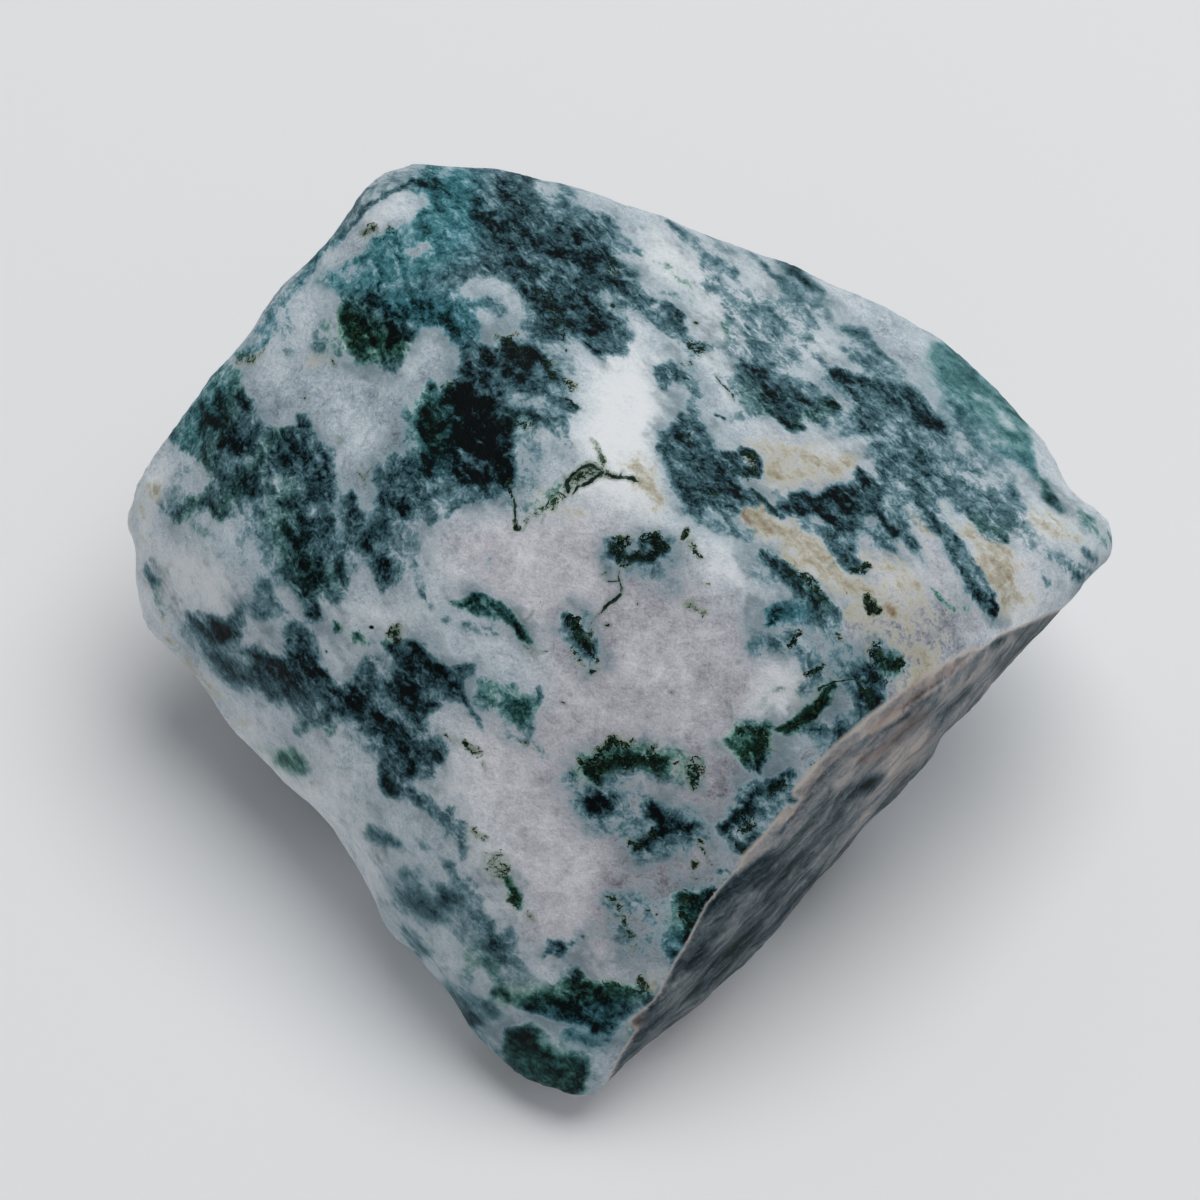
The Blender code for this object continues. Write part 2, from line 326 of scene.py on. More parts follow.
        "380,876 405,870 430,876 446,888 462,872 480,900 492,926 516,936 520,962 514,1000 500,1016 "
        "470,1010 440,980 396,900", 24),
    Patch(0.74,
        "402,892 420,890 436,900 440,884 456,886 462,890 462,904 446,910 440,922 428,922 412,914 "
        "400,902", 18),
    Stroke(0.6, "452,866,6 458,876,6 470,886,4", 12),
    Stroke(0.5, "412,876,7", 14),
    Patch(0.68, "470,892 480,898 486,914 496,922 492,930 478,926", 12),
    Patch(0.72, "500,932 512,928 517,936 508,948 524,968 516,970 486,948 484,940", 12),
    Patch(0.08, "424,932 440,934 456,950 460,980 448,976 434,960", 16),
    Patch(0.06, "476,966 486,972 492,990 484,996 474,986", 12),
    Stroke(0.6, "406,930,5 424,952,7 430,950,5", 14),
    Patch(0.6, "440,984 458,986 478,998 482,1014 490,1026 480,1030 500,1052 486,1060 440,1000", 14),
    Stroke(0.86, "494,992,4 504,990,4 510,1000,3", 8),
    Stroke(0.6, "488,960,4 496,972,5 504,984,4", 10),
    Stroke(0.5, "466,954,7 468,972,5", 16),
    Stroke(0.56, "488,1006,5 496,1014,5", 12),
    Patch(0.74, "548,938 560,940 568,944 580,934 560,956 552,950 540,956 546,946", 10),
    Patch(0.9, "578,966 610,1034 580,1024 540,1012 524,1008", 10),
    Stroke(0.6, "570,1034,4 596,1040,3", 12),
    Patch(0.84, "504,1030 534,1024 546,1036 536,1052 578,1060 588,1094 530,1090 505,1068 498,1050", 12),
    Patch(0.88,
        "664,898 672,892 684,891 696,898 712,886 724,892 706,912 670,962 664,952 680,938 668,930 "
        "678,904", 8),
    Patch(0.2, "640,560 660,556 690,570 694,596 676,604 646,596 630,580", 24),
    Patch(0.16, "756,610 800,640 770,660 744,650 730,620", 26),
    Patch(0.16, "640,850 690,870 700,884 660,890 636,872", 26),
    # The long roof face
    Stroke(0.3, "608,208,4 622,218,4 643,228,2", 8),
    Stroke(0.3, "652,262,2 672,270,4 684,286,4 692,302,3", 8),
    Stroke(0.46, "658,292,3 668,294,3 679,298,2", 6),
    Patch(0.82, "638,296 652,302 668,306 684,318 684,332 676,334 660,326 640,306", 8),
    Stroke(0.1, "646,314,3 660,304,2", 6),
    Patch(0.46, "660,326 704,342 726,342 726,350 710,354 690,350 672,338", 8),
    Stroke(0.74, "668,222,3 684,236,5 694,240,3", 8),
    Stroke(0.66, "690,242,5 704,256,5 722,268,6 732,276,7", 9),
    Stroke(0.6, "706,286,4 718,292,7 732,304,8 752,310,8 764,306,8", 9),
    Stroke(0.6, "750,256,3 764,268,3 778,284,4 792,302,2", 7),
    Stroke(0.74, "784,262,5 798,272,6 806,284,6 820,292,4", 10),
    Stroke(0.3, "700,240,5 724,252,5 745,256,5", 14),
    Stroke(0.4, "746,328,4 756,330,3", 8),
    Stroke(0.36, "726,326,6 728,336,4", 8),
    Patch(0.62, "650,368 660,366 670,360 680,372 690,378 684,384 670,386 666,394 660,390 654,380", 7),
    Stroke(0.34, "688,366,6 698,384,8 704,394,6", 14),
    Stroke(0.95, "692,386,3", 5),
    Patch(0.32, "680,400 700,396 706,408 700,418 680,418", 9),
    Stroke(0.44, "740,382,7 744,400,8 758,412,7 730,418,4", 10),
    Stroke(0.95, "714,417,1.5 720,418,2", 4),
    Patch(0.74,
        "736,366 744,352 756,346 764,356 762,362 778,372 794,378 812,386 828,396 840,410 838,420 "
        "822,416 834,432 800,420 806,432 792,430 776,420 762,404 748,392"),
    Stroke(0.86, "762,382,5 782,396,7 810,406,6", 10),
    Stroke(0.94, "762,400,2 772,414,3 788,426,4 804,430,2", 6),
    Stroke(0.9, "828,400,4 836,410,4", 7),
    Stroke(0.66, "846,328,4 862,334,6 870,346,4", 10),
    Stroke(0.84, "874,346,2 882,356,5 892,363,3", 8),
    Stroke(0.62, "852,362,4 866,366,7 880,374,6", 10),
    Patch(0.74,
        "818,376 832,368 846,378 862,374 880,378 896,380 912,386 924,396 932,412 952,444 940,440 "
        "906,420 890,426 872,424 856,426 846,416 856,404 846,396 832,388"),
    Stroke(0.9, "908,394,6 918,402,7 928,424,7 942,438,3", 9),
    Stroke(0.9, "830,374,4 844,378,4", 7),
    Stroke(0.66, "908,430,6 920,446,7 940,480,4", 9),
    Patch(0.74, "878,446 890,444 902,456 906,468 930,492 946,522 882,472 886,460", 9),
    Stroke(0.9, "900,472,3 916,480,4 944,520,2", 7),
    Patch(0.46,
        "925,340 950,340 1005,392 1030,420 1032,440 1030,460 1036,478 1024,470 1008,464 996,456 "
        "986,444 978,456 964,440 948,426 932,372", 14),
    Stroke(0.24, "966,392,5 982,412,6 998,440,6", 12),
    Stroke(0.2, "990,400,3 1010,430,4", 10),
    Stroke(0.6, "952,352,5 968,378,6", 14),
    Stroke(0.56, "1024,440,4 1032,466,4 1036,478,2", 8),
    Stroke(0.28, "922,366,6 940,410,6 952,430,5", 14),
    Patch(0.52,
        "940,484 956,478 970,482 986,492 998,486 1010,484 1030,508 1022,526 1006,532 1010,544 968,516", 9),
    Stroke(0.84, "970,516,2 1003,540,4", 6),
    Stroke(0.54, "1044,480,3 1050,494,6 1062,512,3", 9),
    Stroke(0.44, "1078,514,3 1092,526,5 1108,540,4", 8),
    Stroke(0.66, "1086,552,3 1092,558,3", 7),
    Stroke(0.62, "1072,572,4 1078,580,4", 9),
    Stroke(0.4, "1056,552,3 1070,562,3 1090,572,4", 10),
    Stroke(0.5, "1042,572,3 1046,584,3", 8),
    Stroke(0.3, "868,304,3 884,314,3", 8),
    Stroke(0.36, "896,324,2 914,338,3", 8),
    Stroke(0.44, "806,346,3 816,356,4 822,368,3", 8),
    # The lobe in the middle, and the second dark band
    Patch(0.68,
        "660,432 672,424 680,416 706,424 704,436 716,448 730,452 744,450 754,452 759,464 758,476 "
        "744,478 738,488 698,524 688,516 684,506 674,494 668,480 664,464 656,452", 10),
    Stroke(0.93, "672,440,3 682,436,5 692,430,4 698,434,2", 7),
    Stroke(0.84, "662,448,4 672,448,3", 8),
    Stroke(0.8, "684,460,4 700,474,5", 10),
    Stroke(0.97, "742,451,2 752,454,2.5 757,464,3 756,474,4 746,470,3", 5),
    Stroke(0.84, "728,454,3 738,454,3 734,464,4 744,470,4", 6),
    Stroke(0.14, "748,458,4 752,464,3", 5),
    Stroke(0.62, "706,496,7 730,496,9 752,500,6", 14),
    Stroke(0.66, "724,524,3 732,534,3 746,542,2", 7),
    Patch(0.84,
        "780,500 792,494 804,492 814,498 830,488 844,486 856,468 866,478 889,498 880,506 900,530 "
        "906,540 894,540 884,530 874,516 862,514 850,520 846,536 838,538 828,524 814,518 800,520 "
        "784,516 776,508", 8),
    Stroke(0.98, "834,492,4 840,502,4 848,498,3", 6),
    Stroke(0.95, "806,500,4 816,512,5 842,532,4", 7),
    Stroke(0.5, "866,500,4 852,530,4", 10),
    Stroke(0.74, "824,528,3 834,544,4 842,560,4 852,572,3", 7),
    Stroke(0.56, "880,530,4 890,546,3 902,558,1.5", 6),
    Stroke(0.8, "750,490,1.5 760,498,2 770,510,3 780,518,3", 5),
    Stroke(0.34, "772,492,4 782,502,4", 10),
    Stroke(0.62, "944,524,4 956,540,4 966,560,3 980,576,3 990,594,4", 8),
    Stroke(0.54, "944,552,4 958,566,5 972,584,4", 8),
    Stroke(0.76, "970,588,3 976,592,4", 7),
    Stroke(0.96, "988,598,2 993,604,3 991,612,4", 5),
    Stroke(0.4, "990,618,3 994,626,3", 8),
    Stroke(0.4, "908,496,2 930,530,3", 8),
    Stroke(0.3, "906,540,5 918,560,4 928,572,3", 10),
    Stroke(0.5, "932,590,2 942,602,3 956,612,3", 5),
    Stroke(0.42, "966,600,3 966,608,3 961,615,2", 6),
    Patch(0.92, "772,558 784,562 810,578 820,590 838,606 826,606", 6),
    Patch(0.5, "774,566 826,608 806,612 790,592", 10),
    Patch(0.66, "764,608 790,602 800,606 816,606 824,616 770,618", 8),
    Stroke(0.93, "768,624,2 776,620,3", 5),
    Stroke(0.4, "752,568,3 762,578,6 774,584,3", 9),
    Patch(0.6, "850,664 862,660 884,704 870,712 862,726 850,718 852,700 846,684", 12),
    Stroke(0.34, "836,716,4 852,734,3", 12),
    Stroke(0.86, "782,727,3 796,722,4 810,714,6 822,704,3 828,690,2.5 836,682,2", 6),
    Stroke(0.34, "806,690,10 816,676,8", 14),
    Stroke(0.5, "764,698,3 772,691,3 784,689,3", 6),
    Patch(0.62, "724,738 734,720 748,716 758,720 764,714 776,722 772,756 756,766 744,762", 10),
    Stroke(0.86, "738,742,6 748,746,8 752,758,4", 10),
    Patch(0.74,
        "748,780 764,778 778,780 798,800 786,800 776,822 790,812 784,824 740,838 756,856 744,858 "
        "722,832 738,794", 8),
    Stroke(0.6, "720,874,3 728,872,3 730,878,2 724,880,3", 5),
    # The steep face
    Stroke(0.6, "970,680,3 955,695,4 940,710,3", 8),
    Stroke(0.9, "848,790,7 868,784,7 866,798,5", 12),
    Stroke(0.8, "826,796,6 812,810,7 803,824,5 800,834,4", 12),
    Stroke(0.8, "812,846,5 800,858,6 786,858,4", 12),
    Stroke(0.8, "776,870,8 764,886,8 745,905,6", 14),
    Stroke(0.5, "720,930,6 690,975,6 650,1030,6", 16),
    # Veils and darker middles, seen when the whole picture is compared
    Stroke(0.6, "466,268,8 486,272,7 500,280,4", 12),
    Stroke(0.5, "468,306,7 486,304,6 500,312,6", 14),
    Stroke(1, "503,428,7 508,452,9 508,476,8", 10),
    Stroke(0.42, "326,322,8 322,346,10 346,352,8", 16),
    Stroke(0.5, "430,392,6 412,410,6 408,436,6", 14),
    Patch(0.45, "236,500 282,504 288,540 276,584 250,582 240,550", 18),
    Stroke(0.4, "352,548,8 356,566,6", 12),
    Stroke(0.3, "412,534,9 408,552,8", 14),
    Stroke(0.3, "230,650,7 246,662,6", 14),
    Stroke(0.03, "430,774,7 448,768,7", 12),
    Stroke(0.12, "444,936,8 456,958,7", 16),
    Stroke(0.4, "470,896,8 484,926,8", 16),
    Stroke(0.6, "618,304,5 640,312,6 662,326,6", 10),
    Stroke(0.5, "684,338,5 700,354,5", 10),
    Stroke(0.45, "724,376,5 736,394,6", 12),
    Patch(0.34, "756,296 790,288 832,302 838,330 806,342 806,372 774,374 752,336", 22),
    Stroke(0.3, "720,280,8 748,296,8", 14),
    Stroke(0.6, "782,280,5 798,300,5", 10),
    Stroke(0.5, "700,266,5 716,280,5", 10),
    Stroke(0.58, "846,346,7 900,372,7", 16),
    Stroke(0.46, "836,424,9 866,434,10 892,440,8", 18),
    Patch(0.36, "890,436 944,440 994,452 1014,484 960,488 900,472", 24),
    Stroke(0.3, "896,496,8 930,510,8 950,526,6", 20),
    Stroke(0.36, "1018,520,8 1034,546,8 1066,568,8", 20),
    Stroke(0.4, "976,506,7 996,516,8 984,530,6", 16),
    Stroke(0.5, "604,224,6 616,236,6", 12),
    Stroke(0.66, "800,526,5 826,538,6 846,556,6 858,570,4", 12),
    Stroke(0.55, "850,522,6 872,534,6 880,546,5", 12),
    Stroke(0.86, "762,556,5 788,576,8 816,598,9 836,614,6", 10),
    Stroke(0.66, "776,612,9 806,616,10 836,626,8", 14),
    Patch(0.3, "784,628 850,630 862,656 840,690 810,670 790,650", 22),
    Patch(0.88, "850,672 866,664 886,676 884,704 872,714 858,702", 12),
    Patch(0.7, "866,652 880,642 898,652 906,666 890,676 872,670", 10),
    Patch(0.4, "846,714 880,716 866,736 830,760 810,776 800,756 830,730", 20),
    Patch(0.34, "600,532 680,530 684,556 650,572 620,574 602,560", 18),
    Stroke(0.75, "612,540,5 618,556,5", 10),
    Stroke(0.85, "646,542,7 662,544,7", 10),
    Patch(0.4, "560,612 590,612 604,660 590,672 568,644", 16),
    Stroke(0.85, "572,622,6 594,656,4", 10),
    Patch(0.36, "574,748 640,738 704,752 706,788 650,782 588,786", 18),
    Stroke(0.85, "588,766,6 610,760,7 640,760,7 664,764,5", 10),
    Patch(0.4, "562,780 604,780 650,806 650,836 606,840 574,816", 26),
    Stroke(0.8, "588,800,8 606,806,9 622,800,6", 14),
    Patch(0.36, "636,800 700,806 716,836 690,856 640,860 630,830", 22),
    Stroke(0.95, "648,808,5 664,822,7 686,830,6 700,826,4", 10),
    Stroke(0.9, "660,826,5 648,842,5 636,850,4", 8),
    Patch(0.42, "726,800 780,776 796,784 790,812 762,850 728,850 716,826", 18),
    Stroke(0.9, "722,826,5 742,812,5 752,796,5 780,784,6 790,776,4", 10),
    Stroke(0.85, "728,828,4 742,846,5 752,852,4", 8),
    Stroke(0.72, "606,896,3 620,914,5 636,948,5", 12),
    Patch(0.34, "600,886 660,890 680,910 664,950 630,960 606,930", 26),
    Patch(0.84, "672,896 706,890 712,900 696,932 674,962 664,944 676,924", 12),
    Patch(0.86,
        "520,994 560,984 576,970 596,980 640,984 652,996 626,1012 616,1032 586,1020 550,1012 516,1008", 12),
    Patch(0.88, "506,1030 530,1022 548,1036 566,1052 590,1058 594,1076 570,1094 510,1062", 12),
    Stroke(0.6, "566,1034,5 590,1040,5 606,1040,3", 10),
    Stroke(0.55, "620,1010,6 640,1000,6", 14),
    Stroke(0.22, "344,278,6 368,268,6", 12),
    Stroke(0.28, "518,403,6 554,407,6", 12),
    Stroke(0.45, "452,496,8 486,498,6", 14),
    Stroke(0.25, "424,514,7 442,509,6", 12),
    Stroke(0.32, "390,548,7 410,553,8", 14),
    Stroke(0.86, "284,503,7 306,509,9", 12),
    Stroke(0.42, "528,514,5 550,502,7 562,488,6", 12),
    Stroke(0.78, "768,310,5 778,332,5", 12),
    Stroke(0.76, "874,448,6 892,474,9 908,494,10 930,516,8 946,542,5 958,566,4 972,590,3 988,608,4", 12),
    Stroke(0.6, "900,430,6 926,456,8 948,486,7 960,510,5", 14),
    Stroke(0.45, "692,508,8 718,524,9 748,534,6", 16),
    Stroke(0.42, "1084,526,6 1104,544,6", 14),
    Stroke(1, "596,804,7 608,808,9 618,812,5", 10),
    Stroke(0.8, "752,836,3 768,839,4 782,829,4 790,816,3", 8),
    Stroke(0.8, "786,776,4 794,790,5 790,804,4", 10),
    Stroke(0.9, "786,728,5 806,717,7 824,702,5 832,688,4", 8),
    Stroke(0.62, "802,656,5 812,668,6 822,680,5", 12),
    Stroke(0.86, "730,740,5 746,760,7 758,772,3", 10),
    Stroke(0.8, "506,880,4 516,896,6 521,905,4", 10),
    Stroke(0.8, "612,990,6 638,992,6 652,1003,5", 12),
    Stroke(0.3, "598,1070,7 590,1088,6", 12),
    Stroke(0.7, "846,668,5 852,684,6", 12),
    Stroke(0.12, "214,690,6 236,712,7 262,724,6", 18),
    Stroke(0.3, "168,610,5 182,630,6 206,650,6", 18),
    Stroke(0.95, "388,766,5 392,788,8", 14),
    Stroke(0.3, "500,952,5 520,966,6 534,982,6 556,986,6", 16),
    Stroke(0.3, "546,1040,4 580,1046,5 604,1056,6", 14),
    Stroke(0.35, "428,690,4 444,696,4", 12),
    Stroke(0.72, "880,474,8 894,500,7 904,524,5 914,546,4", 14),
    Stroke(0.62, "838,424,6 860,430,7 884,428,6", 14),
    Stroke(0.86, "902,442,5 924,468,7 938,494,5", 12),
    Stroke(0.28, "964,424,8 980,432,8", 14),
    Stroke(0.36, "984,500,8 996,518,8 990,540,8", 18),
    Stroke(0.06, "984,558,5 1006,590,6", 12),
    Stroke(0.2, "748,358,5 756,350,5 784,350,6", 12),
    Stroke(0.08, "706,330,7 730,354,7 728,370,6", 14),
    Stroke(0.46, "690,416,6 694,434,6", 12),
    Stroke(0.88, "664,306,5 677,318,6 682,332,4", 8),
    Stroke(0.66, "566,206,7 586,222,7 610,232,7", 14),
    Stroke(0.46, "624,246,6 640,252,6", 12),
    Stroke(0.42, "606,270,8 630,274,8 634,290,6", 14),
    Stroke(0.1, "552,446,8 566,452,8 570,470,6", 14),
    Stroke(0.42, "526,424,8 530,450,8 528,474,8", 18),
    Stroke(0.3, "508,506,8 530,514,8 552,508,6", 18),
    Stroke(0.25, "392,484,6 394,520,6 400,546,6 412,552,6", 12),
    Stroke(0.35, "464,492,5 492,490,6", 12),
    Stroke(0.8, "348,522,6 352,546,7", 12),
    Stroke(0.38, "330,566,7 334,594,8", 14),
    Stroke(0.22, "210,552,10 236,562,12 258,568,8", 24),
    Stroke(0.28, "172,490,8 190,470,9 192,508,10", 22),
    Stroke(0.76, "250,474,7 272,466,8 270,446,6", 12),
    Stroke(0.5, "312,448,6 316,454,4", 10),
    Stroke(0.96, "430,388,6 430,412,7 432,450,9 430,472,7", 12),
    Stroke(0.96, "508,446,7 506,462,6", 10),
    Stroke(0.88, "364,308,6 390,310,7 410,312,5", 12),
    Stroke(0.82, "348,346,6 368,354,6", 10),
    Stroke(0.7, "464,300,5 468,314,5", 10),
    Stroke(0.6, "446,228,7 470,250,8", 14),
    Stroke(0.3, "286,312,8 290,350,8", 18),
    Stroke(0.52, "790,634,6 806,648,6 812,662,5", 12),
    Stroke(0.36, "572,628,14 586,652,10", 22),
    Stroke(0.9, "566,616,6 576,634,8 590,654,5", 8),
    Stroke(0.92, "590,770,5 598,780,4", 8),
    Stroke(0.42, "630,786,8 632,812,8 626,832,8", 18),
    Stroke(0.36, "568,790,8 576,794,6", 16),
    Stroke(0.38, "640,906,12 664,912,14 690,924,12", 24),
    Stroke(0.97, "690,904,7 694,928,8 690,950,6", 10),
    Stroke(0.7, "804,730,6 828,730,6", 12),
    Stroke(0.86, "624,1006,8 650,1002,6", 12),
    Stroke(0.4, "632,1030,8 638,1050,6", 16),
    Stroke(0.25, "510,968,6 530,986,8", 14),
    Stroke(0.3, "568,964,6 562,980,6", 12),
    Stroke(0.94, "588,1006,6 596,1028,5", 10),
    Stroke(0.2, "598,1062,6 590,1082,6", 12),
    Stroke(0.25, "408,806,8 410,846,8", 20),
    Stroke(0.34, "350,734,9 370,752,8", 18),
    Stroke(0.74, "370,668,7 372,692,8", 12),
    Stroke(0.74, "292,626,6 292,652,7", 12),
    Stroke(0.36, "466,628,7 490,632,7", 14),
    Stroke(0.44, "488,690,7 510,690,6", 14),
    Stroke(0.6, "428,768,7 432,774,5", 12),
    Stroke(0.36, "306,708,8 314,712,6", 14),
    Stroke(0.2, "368,788,7 374,794,5", 12),
    Stroke(0.05, "766,690,9 784,674,9", 16),
    Stroke(0.97, "664,548,5 650,556,4 624,556,4", 8),
    Stroke(0.97, "876,652,5 884,662,5", 8),
    Stroke(0.64, "166,508,5 190,508,7 212,494,7 230,508,7", 14),
    Stroke(0.22, "190,528,7 212,534,7", 16),
    Stroke(0.28, "228,548,9 250,562,9", 20),
    Stroke(0.55, "268,590,8 270,606,7", 14),
    Stroke(0.72, "268,430,6 270,460,7", 12),
    Stroke(0.8, "308,508,8 314,514,6", 12),
    Stroke(0.75, "330,488,5 332,494,5", 10),
    Stroke(0.75, "330,544,6 334,552,6", 12),
    Stroke(0.66, "388,470,6 390,506,7", 12),
    Stroke(0.97, "450,388,7 450,420,8 448,452,8", 10),
    Stroke(0.92, "486,386,6 492,392,6", 10),
    Stroke(0.96, "508,428,6 512,450,7 508,470,6", 10),
    Stroke(0.44, "528,428,8 530,450,8 530,490,8", 16),
    Stroke(0.66, "528,326,6 532,334,6", 10),
    Stroke(0.6, "468,350,6 474,356,6", 12),
    Stroke(0.6, "546,386,6 552,392,6", 12),
    Stroke(0.3, "566,348,6 572,354,6", 12),
    Stroke(0.1, "326,290,8 330,312,8", 14),
    Stroke(0.08, "430,368,8 436,374,6", 14),
    Stroke(0.08, "472,290,6 490,290,6", 12),
    Stroke(0.36, "728,294,7 730,320,8 730,350,7", 14),
    Stroke(0.45, "746,314,6 750,334,7", 12),
    Stroke(0.48, "750,350,7 770,350,6", 12),
    Stroke(0.75, "768,368,6 772,374,5", 10),
    Stroke(0.4, "806,386,7 812,392,6", 12),
    Stroke(0.58, "788,406,6 794,410,6", 12),
    Stroke(0.2, "830,430,6 836,432,5", 10),
    Stroke(0.9, "830,402,5 834,410,5", 10),
    Stroke(0.22, "866,458,6 870,468,5", 10),
    Stroke(0.42, "888,492,5 906,492,6", 12),
    Stroke(0.2, "908,508,5 922,528,6", 12),
    Stroke(0.7, "850,528,5 852,556,6 860,570,5", 12),
    Stroke(0.74, "694,508,6 714,506,7 734,510,5", 14),
    Stroke(0.84, "712,490,6 734,490,6", 12),
    Stroke(0.6, "970,388,6 972,406,6 990,410,6", 14),
    Stroke(0.5, "1070,568,5 1074,574,5", 12),
    Stroke(0.45, "810,306,6 812,330,5", 12),
    Stroke(0.85, "668,324,5 670,332,4", 8),
    Stroke(0.55, "688,346,5 692,352,5", 10),
    Stroke(0.55, "688,386,5 694,392,5", 10),
    Stroke(0.5, "756,646,6 796,640,6", 16),
)
# Where the growths lie deeper under the skin, and so look soft
DEEP = (
    Stroke(1, "610,190,16 760,240,30 900,320,36 1000,410,40 1070,500,30"),
    Stroke(0.9, "90,480,20 110,600,40 200,690,50 320,820,60 430,940,60 500,1050,60"),
    Stroke(0.6, "180,560,40 240,600,40"),
    Stroke(0.7, "520,1080,40 620,1030,30"),
)
# Tufts of moss that reach the skin
MOSS = (
    Stroke(0.8, "364,233,4 374,229,4", 8),
    Stroke(0.6, "376,240,4 396,236,5", 12),
    Stroke(0.6, "240,362,4 252,356,5 262,350,3", 10),
    Stroke(0.66, "498,340,3 510,342,4 516,336,3", 8),
    Stroke(0.7, "345,318,5 360,330,8 356,345,6", 10),
    Stroke(0.66, "540,292,5 550,310,6 566,338,6", 10),
    Stroke(0.62, "606,262,6 616,276,5", 10),
    Stroke(0.7, "546,364,4 556,376,5 560,382,3", 8),
    Stroke(0.6, "510,352,5 524,358,5", 8),
    Stroke(0.55, "566,380,4 573,388,5 572,394,4", 7),
    Stroke(0.75, "516,424,4 530,426,5", 8),
    Stroke(0.7, "442,388,4 456,382,4", 7),
    Stroke(1, "515,524,3 517,529,3.5", 4),
    Stroke(0.8, "507,487,3 511,480,3", 5),
    Stroke(0.5, "526,521,2 540,512,5 552,507,7 556,498,5 564,494,2", 10),
    Stroke(0.5, "592,444,2 600,456,4 608,468,4", 7),
    Patch(0.95, "610,540 614,534 626,533 630,540 624,548 620,562 632,565 624,567 616,562 614,548", 6),
    Patch(1, "637,538 644,533 660,532 668,540 673,547 664,550 656,556 648,552 650,542 642,542", 5),
    Stroke(0.7, "636,551,5 644,552,4", 7),
    Patch(0.98, "566,618 574,614 582,618 584,630 572,632 567,626", 6),
    Patch(0.98, "590,634 594,630 595,636 589,644 583,644", 4),
    Stroke(0.66, "573,646,2 577,652,3 583,662,2 585,668,1.5", 5),
    Stroke(0.4, "562,614,3 566,622,3", 8),
    Patch(1,
        "576,757 584,760 592,757 598,752 610,753 622,756 636,756 642,752 656,752 664,760 662,768 "
        "648,764 636,766 628,772 616,762 612,768 602,768 600,772 590,776 582,772 580,764", 6),
    Stroke(0.9, "664,762,3 672,764,2.5 680,765,1.5", 4),
    Stroke(0.62, "612,741,6 622,748,5", 8),
    Stroke(0.62, "629,739,4", 6),
    Stroke(0.8, "650,750,4 656,746,3", 6),
    Stroke(0.62, "660,768,4", 6),
    Stroke(0.82, "594,781,4 598,784,3", 6),
    Patch(0.66, "686,756 694,752 702,760 705,772 698,774 700,784 690,786 684,776", 7),
    Stroke(0.8, "630,843,4 638,848,5 644,842,4", 6),
    Stroke(0.66, "652,826,4 648,836,4", 7),
    Stroke(0.7, "693,862,3 697,866,4", 6),
    Stroke(0.8, "702,842,3", 5),
    Patch(0.42, "484,852 496,852 508,858 508,872 514,886 510,896 500,886 488,880 484,866", 8),
    Stroke(0.8, "510,896,4 516,902,5", 7),
    Stroke(0.6, "526,912,3 532,917,3", 7),
    Stroke(0.5, "474,830,3 486,838,3", 8),
    Patch(0.7, "604,896 612,894 620,900 624,912 630,928 626,930 618,916 612,904", 7),
    Stroke(0.5, "616,919,2 608,919,1", 5),
    Stroke(0.66, "631,934,4", 7),
    Stroke(0.6, "632,947,4 638,942,3", 7),
    Stroke(0.72, "640,980,5 646,988,6 636,988,4", 8),
    Stroke(0.6, "606,984,5 622,984,5", 10),
    Stroke(0.7, "576,974,5 590,984,6", 10),
    Patch(0.56, "680,602 690,598 698,606 710,606 712,612 704,618 696,612 682,610", 7),
    Stroke(0.3, "696,586,3 710,584,2", 7),
    Stroke(0.5, "692,540,4 696,550,4 700,558,3", 7),
    Stroke(1, "685,538,1.5 689,530,2.5", 4),
    Stroke(0.66, "690,434,5 684,444,5", 8),
    Stroke(0.8, "744,453,4 754,462,4 750,474,5", 7),
    Stroke(0.55, "708,496,6 718,494,4", 9),
    Stroke(0.95, "852,572,4 862,572,4 869,566,4", 5),
    Stroke(0.8, "849,560,3", 5),
    Stroke(0.8, "790,568,5 806,580,6 822,594,5", 8),
    Patch(0.95, "866,655 872,646 884,654 890,660 898,656 904,662 900,672 890,668 880,660 872,662", 5),
    Stroke(0.66, "868,664,4 872,674,4 884,682,4 882,690,2", 7),
    Stroke(0.7, "862,684,5 870,696,6 872,706,4", 8),
    Stroke(0.95, "872,604,3 873,610,3.5 879,612,2.5", 4),
    Stroke(0.6, "869,615,3", 5),
    Stroke(0.9, "788,645,2.5 795,640,4 800,633,3", 6),
    Stroke(0.9, "806,672,3 812,672,4 820,668,3", 6),
    Stroke(0.7, "840,636,3 843,642,3", 5),
    Stroke(0.85, "784,727,3 800,720,4 812,712,6 826,696,3", 8),
    Stroke(0.75, "742,728,6 762,728,6 768,744,7 744,750,6", 10),
    Stroke(0.6, "566,500,3 570,484,6 582,474,7 598,470,6 616,476,3", 8),
    Stroke(0.7, "740,818,5 752,824,4 732,832,5 744,850,5", 8),
    Stroke(0.7, "784,784,6 772,790,6", 9),
    Stroke(0.8, "686,898,6 686,914,7 692,926,5", 10),
    Stroke(0.9, "497,352,2", 4),
    Patch(0.8, "390,626 398,621 404,630 404,644 400,650 388,634", 8),
    Stroke(0.66, "464,742,3 472,748,5 480,754,4", 9),
    Stroke(0.4, "444,738,3 456,742,3", 8),
    Stroke(0.6, "482,764,1.5 484,772,2", 6),
    Stroke(0.5, "526,744,3 532,750,3", 7),
    Stroke(1, "570,618,5 580,634,6 590,650,4 597,661,3", 7),
    Stroke(0.9, "600,752,5 612,744,5 624,746,4", 8),
    Stroke(0.75, "622,556,5 638,556,4 654,558,3", 8),
    Stroke(0.95, "868,652,4 876,648,6 880,660,5", 7),
    Stroke(0.8, "508,884,3 518,900,5", 7),
    Stroke(0.8, "786,728,4 808,716,6 826,698,4", 8),
    Stroke(1.0, "864,600,3 872,612,5 880,612,3", 6),
    Stroke(0.9, "692,344,4 700,352,4", 8),
)
